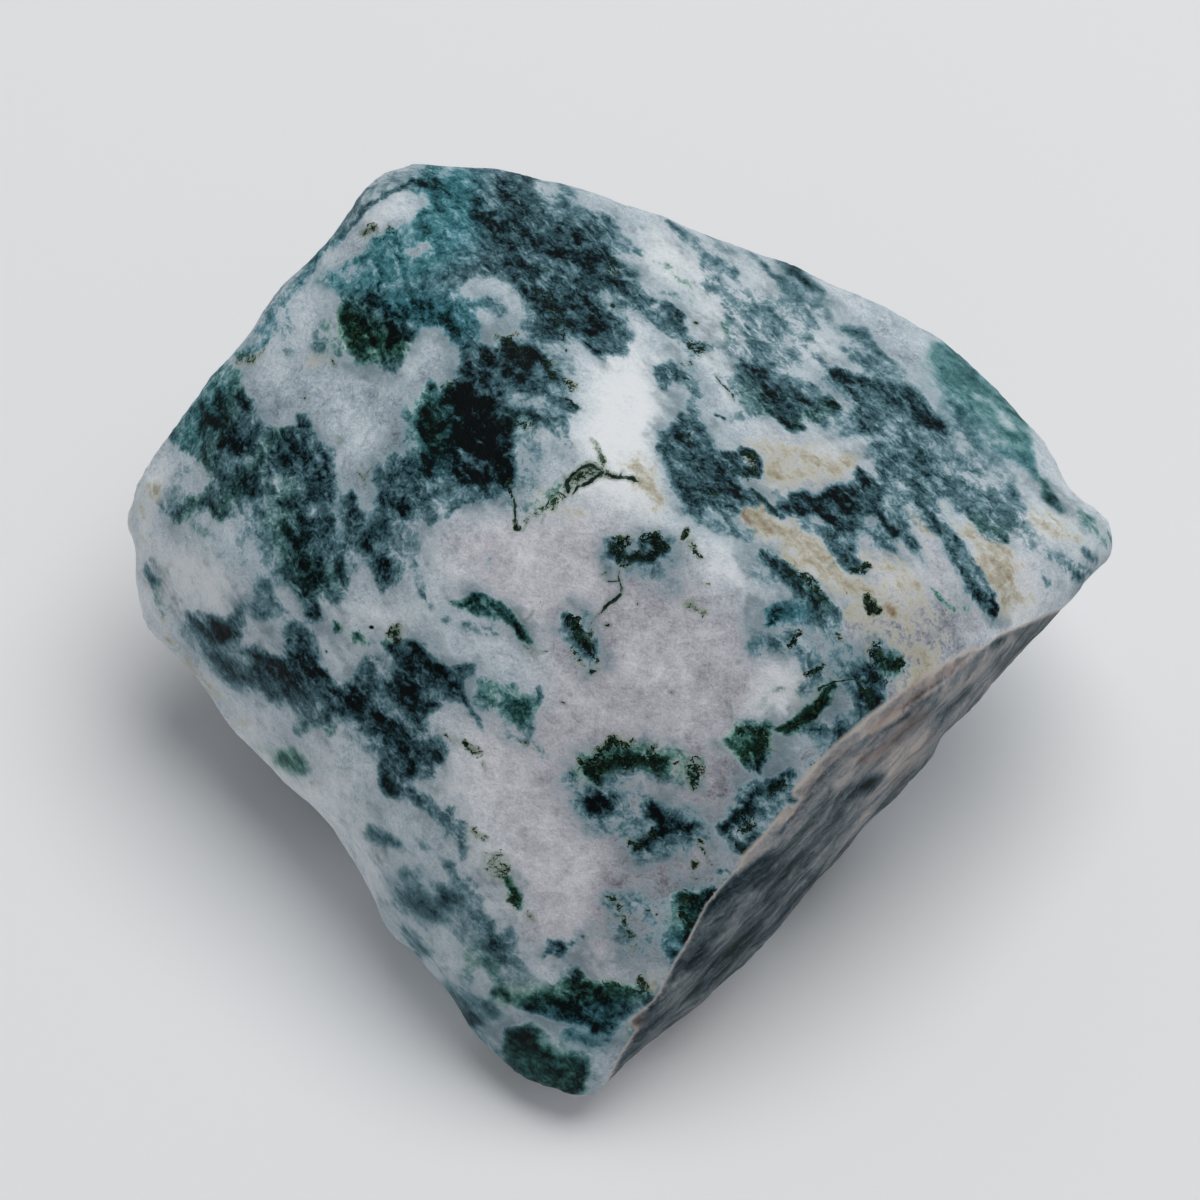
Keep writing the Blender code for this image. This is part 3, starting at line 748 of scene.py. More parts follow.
# Single threads, and the dots where they end
THREAD = (
    Stroke(1, "508,486,2 512,496,1.8 515,508,1.4 515,522,1.8"),
    Stroke(0.7, "528,523,0.8 523,531,0.6"),
    Stroke(0.6, "548,518,0.8 546,525,0.6"),
    Stroke(1,
        "571,494,2 569,484,2.4 573,476,1.6 580,470,1.4 590,467,1.6 602,471,1.6 616,477,1.4 "
        "632,480,1.6 637,483,1.2"),
    Stroke(0.9, "575,496,1 578,487,1.8 594,477,1.4 602,473,1.4"),
    Stroke(0.8, "620,478,1.4 624,472,1"),
    Stroke(0.7, "566,478,1 569,490,1.2"),
    Stroke(0.6, "600,462,1 597,450,1 590,441,0.8"),
    Stroke(0.8, "620,568,1 621,580,1 621,592,1.4 612,602,2 604,610,1.6 598,616,1 592,626,0.8 592,634,1.2"),
    Stroke(0.8, "600,573,1 606,571,1"),
    Stroke(0.66, "603,579,1 612,581,1 620,579,0.8"),
    Stroke(0.6, "533,608,0.8 529,616,1 524,622,0.6"),
    Stroke(1, "606,628,3"),
    Stroke(0.95, "637,603,1.3"),
    Stroke(0.95, "671,688,1.4"),
    Stroke(0.5, "741,664,1.2"),
    Stroke(0.9, "696,325,2"),
    Stroke(0.9, "560,704,1 565,706,1.2"),
    Stroke(0.6, "572,695,1"),
    Stroke(0.6, "724,702,0.8 727,710,1 730,716,0.8"),
    Stroke(0.6, "594,672,1.4 598,671,1"),
    Stroke(0.66, "776,752,0.8 768,744,1.2 763,738,1"),
    Stroke(0.9, "700,846,1.2 706,854,1.4 710,860,1 715,868,0.8"),
    Stroke(0.7, "694,877,0.8 700,878,0.8"),
    Stroke(1, "646,909,1.6 649,909,1.2"),
    Stroke(0.6, "657,914,2.4", 5),
    Stroke(0.8, "656,983,1.8"),
    Stroke(0.7, "816,764,1.6 812,765,1"),
    Stroke(0.95, "304,399,1.8"),
    Stroke(0.7, "318,412,1"),
    Stroke(0.95, "331,363,1.6 334,366,1"),
    Stroke(0.8, "566,353,1.8"),
    Stroke(0.7, "362,469,1.2"),
    Stroke(0.95, "613,307,2 615,310,1"),
    Stroke(0.6, "340,439,0.7 342,443,0.8 339,446,0.6"),
    Stroke(0.66, "358,476,1 364,482,1 370,474,1 374,468,1"),
    Stroke(0.6, "384,470,1 392,468,1 396,464,1"),
    Stroke(0.7, "391,226,0.8 393,231,1"),
    Stroke(0.9, "372,628,2.6", 4),
    Stroke(0.5, "327,652,1.6", 5),
    Stroke(0.6, "426,564,1.4"),
    Stroke(0.95, "564,398,1 570,402,1.4 578,410,1.6"),
    Stroke(0.6, "500,352,1 514,356,1 528,362,1"),
    Stroke(0.8, "500,604,0.8 512,616,1 520,630,1 527,644,1.2 536,654,1 548,654,0.8"),
    Stroke(0.6, "526,632,0.8 520,642,0.8 530,654,0.8 536,660,0.6"),
    Stroke(0.6, "449,592,0.8 454,598,1.2"),
    Stroke(0.9, "716,376,0.8 721,384,1.4 726,393,1.2 732,400,0.8"),
    Stroke(0.7, "678,364,0.8 684,370,1.2"),
    Stroke(0.7, "688,362,1 692,368,1"),
    Stroke(0.7, "670,378,1 682,382,1 688,382,0.8"),
    Stroke(0.9, "750,490,1 757,497,1.4 768,506,1.2 778,519,1"),
    Stroke(0.6, "828,566,0.8 836,562,0.8"),
    Stroke(0.9, "820,690,1.4 830,684,1.4 838,682,1.2 856,678,0.8"),
    Stroke(0.8, "828,690,1.2 826,700,1.4"),
    Stroke(0.8, "820,664,1.2 826,666,1"),
    Stroke(0.7, "822,676,1.2 820,680,1"),
    Stroke(0.8, "791,708,1.2"),
    Stroke(0.95, "822,778,0.8 830,772,1.8 836,766,0.8"),
    Stroke(0.95, "818,766,0.8 826,760,1.2 838,752,1.4 842,748,0.8"),
    Stroke(0.9, "802,816,0.8 810,808,1.6 816,800,0.8"),
    Stroke(0.95, "920,706,0.8 926,699,1.6 930,697,0.8"),
    Stroke(0.8, "912,712,0.8 920,706,1.4"),
    Stroke(0.7, "858,740,0.8 866,733,1.2 878,728,1"),
    Stroke(0.7, "888,722,0.8 894,717,1 898,712,0.8"),
    Stroke(0.9, "752,866,0.8 758,859,1.4 762,854,0.8"),
    Stroke(0.6, "876,740,0.8 886,732,1.2 900,726,0.8"),
    Stroke(0.7, "930,694,0.8 938,688,1"),
)
# How milky the body is: 0 is grey and see-through, 0.45 its usual tone and 0.85 opaque white. Along the left
# rim and low left flank it is raised as painted light.
MILK_AND_PAINTED_LIGHT = (
    Patch(0.3, "316,270 372,232 416,200 470,262 440,310 330,320", 30),
    Patch(0.2,
        "396,354 412,345 424,332 440,330 458,350 452,370 436,380 424,396 404,410 408,440 400,470 "
        "370,500 340,470 330,440 300,410 264,430 240,390 300,350", 24),
    Stroke(0.42, "404,372,10 428,352,12 440,344,8", 20),
    Stroke(0.04, "350,420,20 385,440,22 372,480,14", 34),
    Stroke(0.15, "476,292,10 500,306,12 510,326,10", 16),
    Stroke(0.75, "378,220,8 404,208,9", 14),
    Stroke(0.5, "330,256,8 350,246,8", 14),
    Patch(0.97,
        "582,366 640,330 700,350 650,380 660,440 650,500 690,530 640,520 600,500 560,500 530,480 "
        "526,440 560,440 580,420", 24),
    Patch(0.5, "520,432 568,440 590,462 560,500 530,480", 20),
    Patch(0.62,
        "590,190 680,220 760,250 860,290 940,350 1050,450 1110,530 1060,580 960,540 900,490 820,450 "
        "740,440 680,420 690,350 640,300 620,240", 30),
    Stroke(0.85, "660,250,16 700,280,14 740,330,14 700,360,10", 24),
    Stroke(0.8, "760,290,6 830,350,8 900,360,6", 20),
    Patch(0.4, "840,300 930,350 1000,420 1040,480 960,480 880,430 860,360", 30),
    Patch(0.42,
        "520,520 600,510 720,590 780,650 720,700 730,760 700,840 640,820 560,760 540,660 500,600", 50),
    Patch(0.2, "600,560 660,556 710,570 740,610 700,640 640,620", 40),
    Patch(0.68, "480,740 560,780 620,840 640,900 600,980 560,930 510,860 470,800", 50),
    Patch(0.4, "650,840 740,760 800,760 760,850 680,950", 40),
    Patch(0.86, "724,560 760,600 750,640 700,570 700,540 730,540", 26),
    Patch(0.95, "736,712 744,680 780,656 806,656 796,690 800,712 770,720", 22),
    Patch(0.55, "410,530 480,510 540,530 520,600 460,590 420,580", 34),
    Patch(0.62, "430,700 480,740 470,790 440,800 420,770 450,740", 30),
    Stroke(0.62, "340,612,10 370,622,12", 24),
    Patch(0.36, "150,520 230,530 280,560 260,600 180,600 150,570", 34),
    Patch(0.55, "230,690 300,720 370,760 380,850 270,770", 34),
    Patch(0.55, "780,720 830,730 826,756 800,780 780,770", 24),
    Patch(0.6, "760,500 830,540 900,590 860,620 800,580 750,540", 26),
    Patch(0.7, "960,520 1040,500 1110,540 1060,590 1000,630 960,580", 30),
    # These patches make the lower right of the front, towards the sharp edge, and a few other places a
    # darker grey
    Patch(0,
        "556,776 600,784 650,800 700,780 740,800 745,850 722,886 664,966 620,960 586,944 600,900 "
        "602,850 570,830", 40),
    Patch(-0.1, "606,876 650,862 672,890 668,930 640,960 612,940", 34),
    Patch(-0.02, "800,632 850,616 880,640 884,700 850,742 806,776 780,756 816,726 836,694 812,664", 30),
    Patch(0.1, "700,640 780,640 750,660 736,700 700,680", 34),
    Patch(0.05, "690,742 760,760 780,778 720,800 690,790", 26),
    Patch(0.1, "520,1010 640,1010 640,1050 600,1080 550,1060", 26),
    Patch(0.1, "596,540 690,540 690,575 650,596 600,596", 26),
    Patch(0.1, "556,610 600,610 612,660 590,680 566,660", 24),
    Patch(0.1, "850,590 960,600 960,680 900,712 884,640 846,620", 30),
    # Painted light: lighter along the left rim, which turns away from the key light
    Patch(0.85, "140,540 228,556 240,600 160,640 136,600", 30),
    # Painted light: lighter along the lower left rim
    Stroke(0.8, "150,644,8 236,740,12 310,806,12 372,880,10", 30),
    Stroke(0.62, "430,790,14 500,810,20 500,830,14", 40),
    Stroke(0.2, "526,450,8 530,480,12 500,506,8", 24),
    Stroke(0.66, "346,402,12 364,430,14 352,458,8", 34),
    # Painted light: lighter along the upper left rim
    Stroke(0.85, "160,470,8 146,530,6 150,600,8 190,616,8 210,600,8", 24),
    Stroke(0.22, "724,600,14 730,640,14 745,680,8", 34),
    Stroke(0.3, "652,348,8 690,372,12 706,392,10", 26),
    Stroke(0.55, "508,958,8 540,972,12 566,962,8", 26),
    Stroke(0.35, "470,524,12 520,520,12", 30),
    Stroke(0.1, "700,504,10 740,524,10", 24),
    Stroke(0.25, "620,600,20 630,630,20", 40),
    # Painted light: this stroke and the three after it lighten the low left flank, which faces away from the
    # key light
    Stroke(0.8, "290,770,10 366,840,12", 24),
    Stroke(0.75, "446,786,8 480,806,12 510,830,12 478,860,8", 30),
    Stroke(0.72, "462,866,10 484,890,10 500,920,8", 26),
    Stroke(0.7, "456,920,10 480,940,12 500,960,12 530,984,10", 26),
    Stroke(0.66, "540,1040,6 590,1050,8 600,1070,6", 24),
    Stroke(0.78, "590,530,10 610,508,10 640,506,10", 24),
    Stroke(0, "728,606,12 744,640,12 770,650,12 806,640,14", 34),
    Stroke(0, "850,636,16 890,640,14 930,650,16 910,690,14", 30),
    Stroke(0.2, "640,900,14 670,916,14", 26),
    Stroke(0.3, "560,836,12 590,830,10", 30),
    Stroke(0.9, "764,694,10 784,676,12 806,670,8", 26),
    Stroke(0.3, "700,600,18 690,640,18", 40),
    Stroke(0.3, "440,540,14 480,560,16", 40),
)
# Where the body is faintly warm
BLUSH = (
    Patch(1,
        "430,530 500,510 600,510 720,590 770,620 790,650 760,720 740,800 740,860 700,900 650,960 "
        "600,980 520,940 500,860 460,780 470,720 540,700 540,660 470,600"),
    Stroke(0.8, "800,790,20 850,740,20 900,700,20", 40),
    Patch(0.7, "760,430 860,460 960,560 1060,540 1020,620 900,700 830,640 760,540", 50),
)
# Cream and tan stains of iron, which follow the ridges
STAIN = (
    Patch(0.46,
        "728,446 760,440 790,440 830,452 856,464 846,478 824,486 800,490 776,488 762,480 764,460 "
        "748,448", 22),
    Patch(0.42, "622,462 640,452 650,470 664,490 672,504 656,512 642,496 630,480", 20),
    Stroke(0.3, "652,510,8 668,516,8", 20),
    Stroke(0.85, "732,512,5 742,514,6 750,524,5", 12),
    Patch(0.5, "716,512 740,502 766,512 786,548 764,540 722,518", 18),
    Patch(0.46,
        "760,500 776,518 800,524 824,534 850,574 880,586 900,600 870,602 836,590 770,540 752,520", 16),
    Stroke(0.56, "784,556,5 800,562,6", 16),
    Patch(0.3,
        "850,540 900,560 930,584 944,606 956,616 950,650 940,680 920,704 890,716 884,690 904,668 "
        "896,650 850,632 836,612 850,600 870,590 840,570", 24),
    Patch(0.6, "896,640 924,644 936,664 918,694 898,702 898,680 908,662", 22),
    Stroke(0.95, "893,612,6 895,618,5", 14),
    Stroke(0.6, "895,600,3 862,628,3 858,616,2", 10),
    Patch(0.5, "960,520 986,534 1010,548 1024,566 1016,584 1000,596 984,584 970,556 956,534", 18),
    Patch(0.36, "1034,510 1060,520 1090,540 1080,556 1050,546 1036,528", 18),
    Stroke(0.3, "1000,600,12 1020,600,12", 22),
    Stroke(0.22, "900,500,8 924,536,10 934,566,10", 20),
    Stroke(0.3, "940,508,6 960,530,6", 16),
    Stroke(0.5, "154,491,6", 14),
    Stroke(0.24, "140,510,8 146,540,7", 18),
    Stroke(0.5, "168,640,6", 12),
    Stroke(0.26, "160,612,5 178,652,6 210,690,5 240,725,5", 16),
    Stroke(0.9, "690,439,3", 5),
    Stroke(0.34, "650,984,5 664,972,4", 14),
    Stroke(0.3, "800,694,10 812,680,9", 20),
    Stroke(0.7, "862,756,6 880,748,7 905,728,6 920,714,6", 14),
    Stroke(0.8, "640,1015,5 632,1028,5", 14),
    Stroke(0.5, "896,780,6 910,760,5 930,735,4", 16),
    Stroke(0.22, "540,500,14 580,510,12", 24),
    Stroke(0.26, "742,866,4 752,854,3", 8),
    Stroke(0.24, "330,345,10 318,360,10", 20),
    Stroke(0.42, "880,650,10 920,660,12 914,690,10", 30),
    Stroke(0.62, "960,664,4 924,690,6 896,712,6 870,732,4", 10),
    Stroke(0.4, "846,750,5 816,780,5 790,812,5", 10),
)
# Where the growths are teal
TEAL = (
    Stroke(1, "330,280,24 400,250,40 440,230,36 450,190,30"),
    Stroke(0.9, "400,300,20 460,320,24"),
    Stroke(0.9, "436,398,8 424,425,12 425,450,8", 16),
    Stroke(0.9, "226,380,14 200,410,16 186,445,14", 20),
    Stroke(0.7, "940,360,24 980,400,30 1030,450,24"),
    Stroke(0.8, "240,360,12 300,300,12 350,240,10", 16),
    Stroke(0.8, "770,615,10 800,612,10", 14),
    Stroke(0.5, "540,1000,20 600,1005,24 540,1065,24"),
    Stroke(0.7, "686,910,20 680,945,12"),
    Stroke(0.4, "490,690,12 520,710,18", 14),
    Stroke(0.4, "460,600,12 500,612,12 530,645,10", 12),
    Stroke(0.8, "424,400,16 436,430,20 432,460,12", 34),
)
# Where the growths are green
GREEN = (
    Stroke(0.15, "330,280,20 400,250,36 430,210,30 440,180,16", 30),
    Stroke(1, "345,325,20 370,345,24 395,350,14", 20),
    Stroke(0.3, "450,384,6 426,405,9 415,430,9 416,455,8", 12),
    Stroke(0.3, "508,420,10 524,428,10", 14),
    Stroke(0.4, "226,380,14 200,420,16 186,445,14", 20),
    Stroke(0.5, "285,490,14 280,535,16 306,580,16 330,580,12", 24),
    Stroke(0.9, "292,760,16 262,746,8", 16),
    Stroke(0.3, "306,728,12 334,732,8", 16),
    Stroke(0.8, "340,626,8 362,640,10 396,634,12", 10),
    Stroke(1, "480,834,8 496,856,14 500,880,14 516,900,10", 14),
    Stroke(0.6, "460,600,12 500,612,12 530,645,10", 12),
    Stroke(0.6, "490,690,12 520,710,18", 14),
    Stroke(0.8, "545,508,14 575,485,12 600,466,14 616,490,12", 14),
    Stroke(0.9, "590,765,18 620,750,18 660,760,14 692,768,14", 14),
    Stroke(1, "745,740,24 765,735,16", 16),
    Stroke(0.9, "784,726,8 812,712,10 830,690,8", 12),
    Stroke(0.7, "772,692,8", 10),
    Stroke(0.6, "688,910,24", 20),
    Stroke(0.7, "530,1050,26 570,1074,20", 20),
    Stroke(0.9, "640,984,14 506,994,12", 14),
    Stroke(0.6, "470,960,14 494,970,10", 18),
    Stroke(0.9, "694,548,9 696,606,14", 12),
    Stroke(0.4, "790,572,8 826,600,8", 10),
    Stroke(0.9, "890,664,12", 10),
    Stroke(0.4, "940,360,20 980,400,24 1020,440,20", 26),
    Stroke(0.3, "748,396,14 770,416,10", 14),
    Stroke(1, "670,272,10 690,300,8 716,330,10", 12),
    Stroke(0.5, "790,428,6 834,406,8", 10),
    Stroke(0.5, "1080,516,8 1104,538,8", 12),
    Stroke(0.4, "1050,496,10 1036,470,8", 14),
    Stroke(0.5, "976,520,6 1000,536,6", 10),
    Stroke(0.7, "936,594,8 954,610,8 966,606,6", 10),
    Stroke(0.5, "246,360,10 160,600,8 336,350,10", 14),
    Stroke(0.9, "430,408,14 432,436,14", 30),
)
# The steep face, without growths, looking down and away from the key light, so its dark tones are partly
# painted shade: 0.55 is pale grey, 0.75 slate, 0.9 dark and 1 black
CRUST_PAINTED_LIGHT_AND_SHADE = (
    # Partly painted shade: the whole steep face is laid dark, for its own grey-brown and for the shade it
    # lies in
    Patch(0.8,
        "1062,607 1045,614 1000,634 968,658 935,688 915,702 900,714 860,740 842,754 822,772 808,788 "
        "790,818 778,832 750,856 736,870 708,902 698,920 688,940 676,958 666,978 654,1000 642,1020 "
        "615,1062 598,1100 1080,690", 5),
    Patch(0.6, "985,650 850,764 838,780 846,812 870,806 915,766 950,726 1000,690", 16),
    Stroke(0.76, "934,702,4 915,720,6 897,739,5", 8),
    Stroke(0.82, "968,688,3 942,711,4 930,726,3", 8),
    Stroke(1, "852,790,4 868,784,6 880,776,3", 12),
    Stroke(0.86, "850,796,6 826,800,4 802,826,4", 12),
    Stroke(0.56, "850,764,5 824,786,6 786,832,8 768,848,6", 10),
    Stroke(0.84, "768,856,4 750,868,4 728,888,4 712,906,3", 8),
    Stroke(0.93, "802,856,5 776,872,6 760,888,6", 12),
    Stroke(0.68, "754,900,7 730,926,9 716,940,6", 14),
    Stroke(0.98, "700,948,4 688,966,4", 9),
    Stroke(0.9, "752,926,6 738,944,9 714,968,9 698,988,8", 14),
    Stroke(0.72, "686,980,6 666,1004,8 650,1026,6", 12),
    Stroke(0.9, "652,1006,3 636,1022,4", 8),
    Stroke(0.55, "900,724,5 876,742,7 850,762,7 828,780,5", 10),
    Stroke(0.72, "884,742,1 862,758,1.5 838,778,1", 3),
    Stroke(0.62, "866,812,8 842,836,9 816,862,7", 16),
    Stroke(0.88, "768,900,5 744,914,6", 14),
    Stroke(0.6, "1010,640,5 980,662,6 950,690,5", 10),
    Stroke(0.88, "668,1034,4 616,1086,8", 12),
    # The chipped rim, paler along its crest, partly as painted light where it catches the key light, with
    # fine dark lines along it
    Stroke(0.58, "972,652,5 940,674,8 906,698,9 872,722,8 846,744,8 820,768,7 798,792,6", 10),
    Stroke(0.56, "790,810,6 768,838,7 744,860,5", 9),
    Stroke(0.84, "952,672,0.8 926,690,1.2 902,708,0.8", 3),
    Stroke(0.84, "908,714,0.8 884,730,1.2 860,752,0.8", 3),
    Stroke(0.8, "868,734,0.8 840,756,1.2 818,780,0.8", 3),
    Stroke(0.86, "812,790,0.8 796,812,1.2 780,832,0.8", 3),
)


@dataclass(frozen=True)
class Laying:
    """How one kind of marking is laid on the skin.

    Attributes:
        marks: The markings, in the order that they are laid.
        edge: Over how many pixels each fades, where it doesn't say.
        ground: What is there before the first of them.
        over: Whether each hides what lies there, or else only adds to it.
        floor: Least share of its strength that a faint marking keeps.
        widen: Pixels added to every edge.
    """

    marks: Sequence[Mark]
    edge: float
    ground: float = 0.0
    over: bool = False
    floor: float = 0.0
    widen: float = 0.0

    def drawn(self, spots: Values) -> Values:
        """How strongly this kind of marking shows.

        Args:
            spots: One row for each place: pixels across and down.

        Returns:
            One value for each place.
        """
        values = np.full(len(spots), self.ground)
        for mark in self.marks:
            edge = (mark.edge or self.edge) + self.widen
            rows = mark.rows()
            margin = rows[:, 2:].max(initial=0.0) + edge
            low, high = rows[:, :2].min(axis=0) - margin, rows[:, :2].max(axis=0) + margin
            near = ((spots > low) & (spots < high)).all(axis=1)
            near = np.flatnonzero(near)
            strength = np.clip(0.5 - mark.outside(spots[near]) / edge, 0.0, 1.0)
            if self.over:
                values[near] += (mark.depth - values[near]) * strength
            else:
                strength *= self.floor + (1.0 - self.floor) * mark.depth
                values[near] = np.maximum(values[near], strength)
        return values


LAYINGS = {
    Growth.SLATE: Laying(SLATE, edge=12.0, over=True),
    Growth.HALO: Laying(SLATE, edge=12.0, over=True, widen=44.0),
    Growth.DEEP: Laying(DEEP, edge=80.0),
    Growth.MOSS: Laying(MOSS, edge=10.0),
    Growth.THREAD: Laying(THREAD, edge=8.0, floor=0.8),
    Growth.MILK_AND_PAINTED_LIGHT: Laying(MILK_AND_PAINTED_LIGHT, edge=34.0, ground=0.45, over=True),
    Growth.STAIN: Laying(STAIN, edge=20.0),
    Growth.GREEN: Laying(GREEN, edge=24.0),
    Growth.TEAL: Laying(TEAL, edge=30.0),
    Growth.BLUSH: Laying(BLUSH, edge=60.0, over=True),
    Growth.CRUST_PAINTED_LIGHT_AND_SHADE: Laying(CRUST_PAINTED_LIGHT_AND_SHADE, edge=6.0, over=True),
}


def linear(colour: str) -> Colour:
    """Turns an sRGB hex colour to the linear colour that a socket takes.

    Args:
        colour: The colour, as "#rrggbb".

    Returns:
        Red, green, blue and alpha.
    """
    parts = [int(colour[at : at + 2], 16) / 255 for at in (1, 3, 5)]
    return (*[p / 12.92 if p <= 0.04045 else ((p + 0.055) / 1.055) ** 2.4 for p in parts], 1.0)


def fade(value: Values, low: float, high: float) -> Values:
    """A smooth step for many values at once.

    Args:
        value: The values.
        low: Where the step is still 0.
        high: Where it reaches 1.

    Returns:
        The step at each value.
    """
    share = np.clip((value - low) / (high - low), 0.0, 1.0)
    return share * share * (3.0 - 2.0 * share)


def drift(points: Values, size: float, start: float, octaves: int = 3) -> Values:
    """An even noise over the stone, mostly between -1 and 1.

    Args:
        points: One row for each place, in millimetres.
        size: How large its forms are, in millimetres.
        start: Where in the noise the stone lies, so that no two fields match.
        octaves: How many finer noises lie on it.

    Returns:
        One value for each place.
    """
    rows = points / size + start
    return np.array([noise.fractal(Vector(row), 0.9, 2.1, octaves) for row in rows])


@dataclass(frozen=True)
class FrontView:
    """The photograph's view of the stone: square on to its front face, from well above.

    Attributes:
        lean: How far the front face looks above the horizon, in radians.
        middle: The point of the stone at the middle of the picture, in millimetres.
        distance: From that point to the eye, in millimetres.
        lens: Focal length, in millimetres.
        film: Width of the film, in millimetres.
        frame: Width of the picture, in pixels.
    """

    lean: float = math.radians(58.0)
    middle: tuple[float, float, float] = (-0.85, -3.55, 19.0)
    distance: float = 248.0
    lens: float = 180.0
    film: float = 36.0
    frame: float = 1200.0

    def turned(self, way: Sequence[float]) -> Vector:
        """Turns a direction seen in the picture (across, up, out) to the table's."""
        across, up, out = way
        back = up * math.sin(self.lean) - out * math.cos(self.lean)
        above = up * math.cos(self.lean) + out * math.sin(self.lean)
        return Vector((across, back, above))

    def eye(self) -> Vector:
        """Where the eye is, in metres."""
        return (Vector(self.middle) + self.turned((0.0, 0.0, self.distance))) * MM

    def place_camera(self) -> None:
        """Puts the scene's camera where the photograph was taken from."""
        bpy.ops.object.camera_add(
            location=self.eye(), rotation=(math.pi / 2 - self.lean, 0.0, 0.0)
        )
        camera = bpy.context.object
        camera.name = "camera"
        camera.data.lens = self.lens
        camera.data.sensor_width = self.film
        camera.data.clip_start = 0.01
        bpy.context.scene.camera = camera

    def pixels(self, points: Values) -> Values:
        """Where points of the stone show in the picture.

        Args:
            points: One row for each point, in metres.

        Returns:
            One row for each point: pixels across and down.
        """
        apart = points / MM - np.array(self.middle)
        up = apart[:, 1] * math.sin(self.lean) + apart[:, 2] * math.cos(self.lean)
        out = apart[:, 2] * math.sin(self.lean) - apart[:, 1] * math.cos(self.lean)
        share = self.frame * self.lens / self.film / (self.distance - out)
        return np.stack((self.frame / 2 + share * apart[:, 0], self.frame / 2 - share * up), axis=1)

    def facing(self, points: Values, normals: Values) -> Values:
        """How squarely each point of the skin looks at the eye, from -1 to 1."""
        sight = np.array(self.eye()) - points
        sight /= np.linalg.norm(sight, axis=1)[:, None]
        return (sight * normals).sum(axis=1)


@dataclass(frozen=True)
class Studio:
    """A plain pale floor and soft light from above and behind.

    Attributes:
        key_way: Where the key light stands, seen in the picture: across, up and out.
        key_distance: How far off it stands, in metres.
        key_size: How wide it is, in metres.
        key_power: Its power, in watts.
        fill: Strength of the even light from all round.
        floor_size: Width of the floor, in metres.
    """

    key_way: tuple[float, float, float] = (0.2, 0.7, 0.67)
    key_distance: float = 0.6
    key_size: float = 0.5
    key_power: float = 2.2
    fill: float = 0.29
    floor_size: float = 3.0

    def light(self, view: FrontView) -> None:
        """Sets the key light, the even fill and how the picture shows brightness."""
        way = view.turned(self.key_way).normalized()
        middle = Vector(view.middle) * MM
        turn = way.to_track_quat("Z", "Y").to_euler()
        bpy.ops.object.light_add(
            type="AREA", location=middle + way * self.key_distance, rotation=turn
        )
        key = bpy.context.object
        key.name = "key_light"
        key.data.shape = "DISK"
        key.data.size = self.key_size
        key.data.energy = self.key_power
        world = bpy.data.worlds.new("studio")
        world.use_nodes = True
        world.node_tree.nodes["Background"].inputs["Color"].default_value = linear("#f4f8ff")
        world.node_tree.nodes["Background"].inputs["Strength"].default_value = self.fill
        bpy.context.scene.world = world
        bpy.context.scene.view_settings.view_transform = "Standard"

    def lay_floor(self) -> None:
        """Lays the pale floor that the stone rests on."""
        bpy.ops.mesh.primitive_plane_add(size=self.floor_size, location=(0.0, 0.0, 0.0))
        floor = bpy.context.object
        floor.name = "floor"
        paint = bpy.data.materials.new("pale_floor")
        paint.use_nodes = True
        shader = paint.node_tree.nodes["Principled BSDF"]
        shader.inputs["Base Color"].default_value = linear("#fafafa")
        shader.inputs["Roughness"].default_value = 0.9
        shader.inputs["Specular IOR Level"].default_value = 0.1
        floor.data.materials.append(paint)


@dataclass(frozen=True)
class Grain:
    """One size of unevenness in the stone.

    Attributes:
        size: How large its forms are, in millimetres.
        detail: How many finer sizes lie on it.
        rough: How strong the finer ones are.
        start: Where in the noise the stone lies.
    """

    size: float
    detail: float = 4.0
    rough: float = 0.6
    start: float = 0.0


Stops = tuple[tuple[float, str], ...]
Parts = Sequence[tuple[Socket, float]]
SMOOTH = {"interpolation_type": "SMOOTHSTEP"}


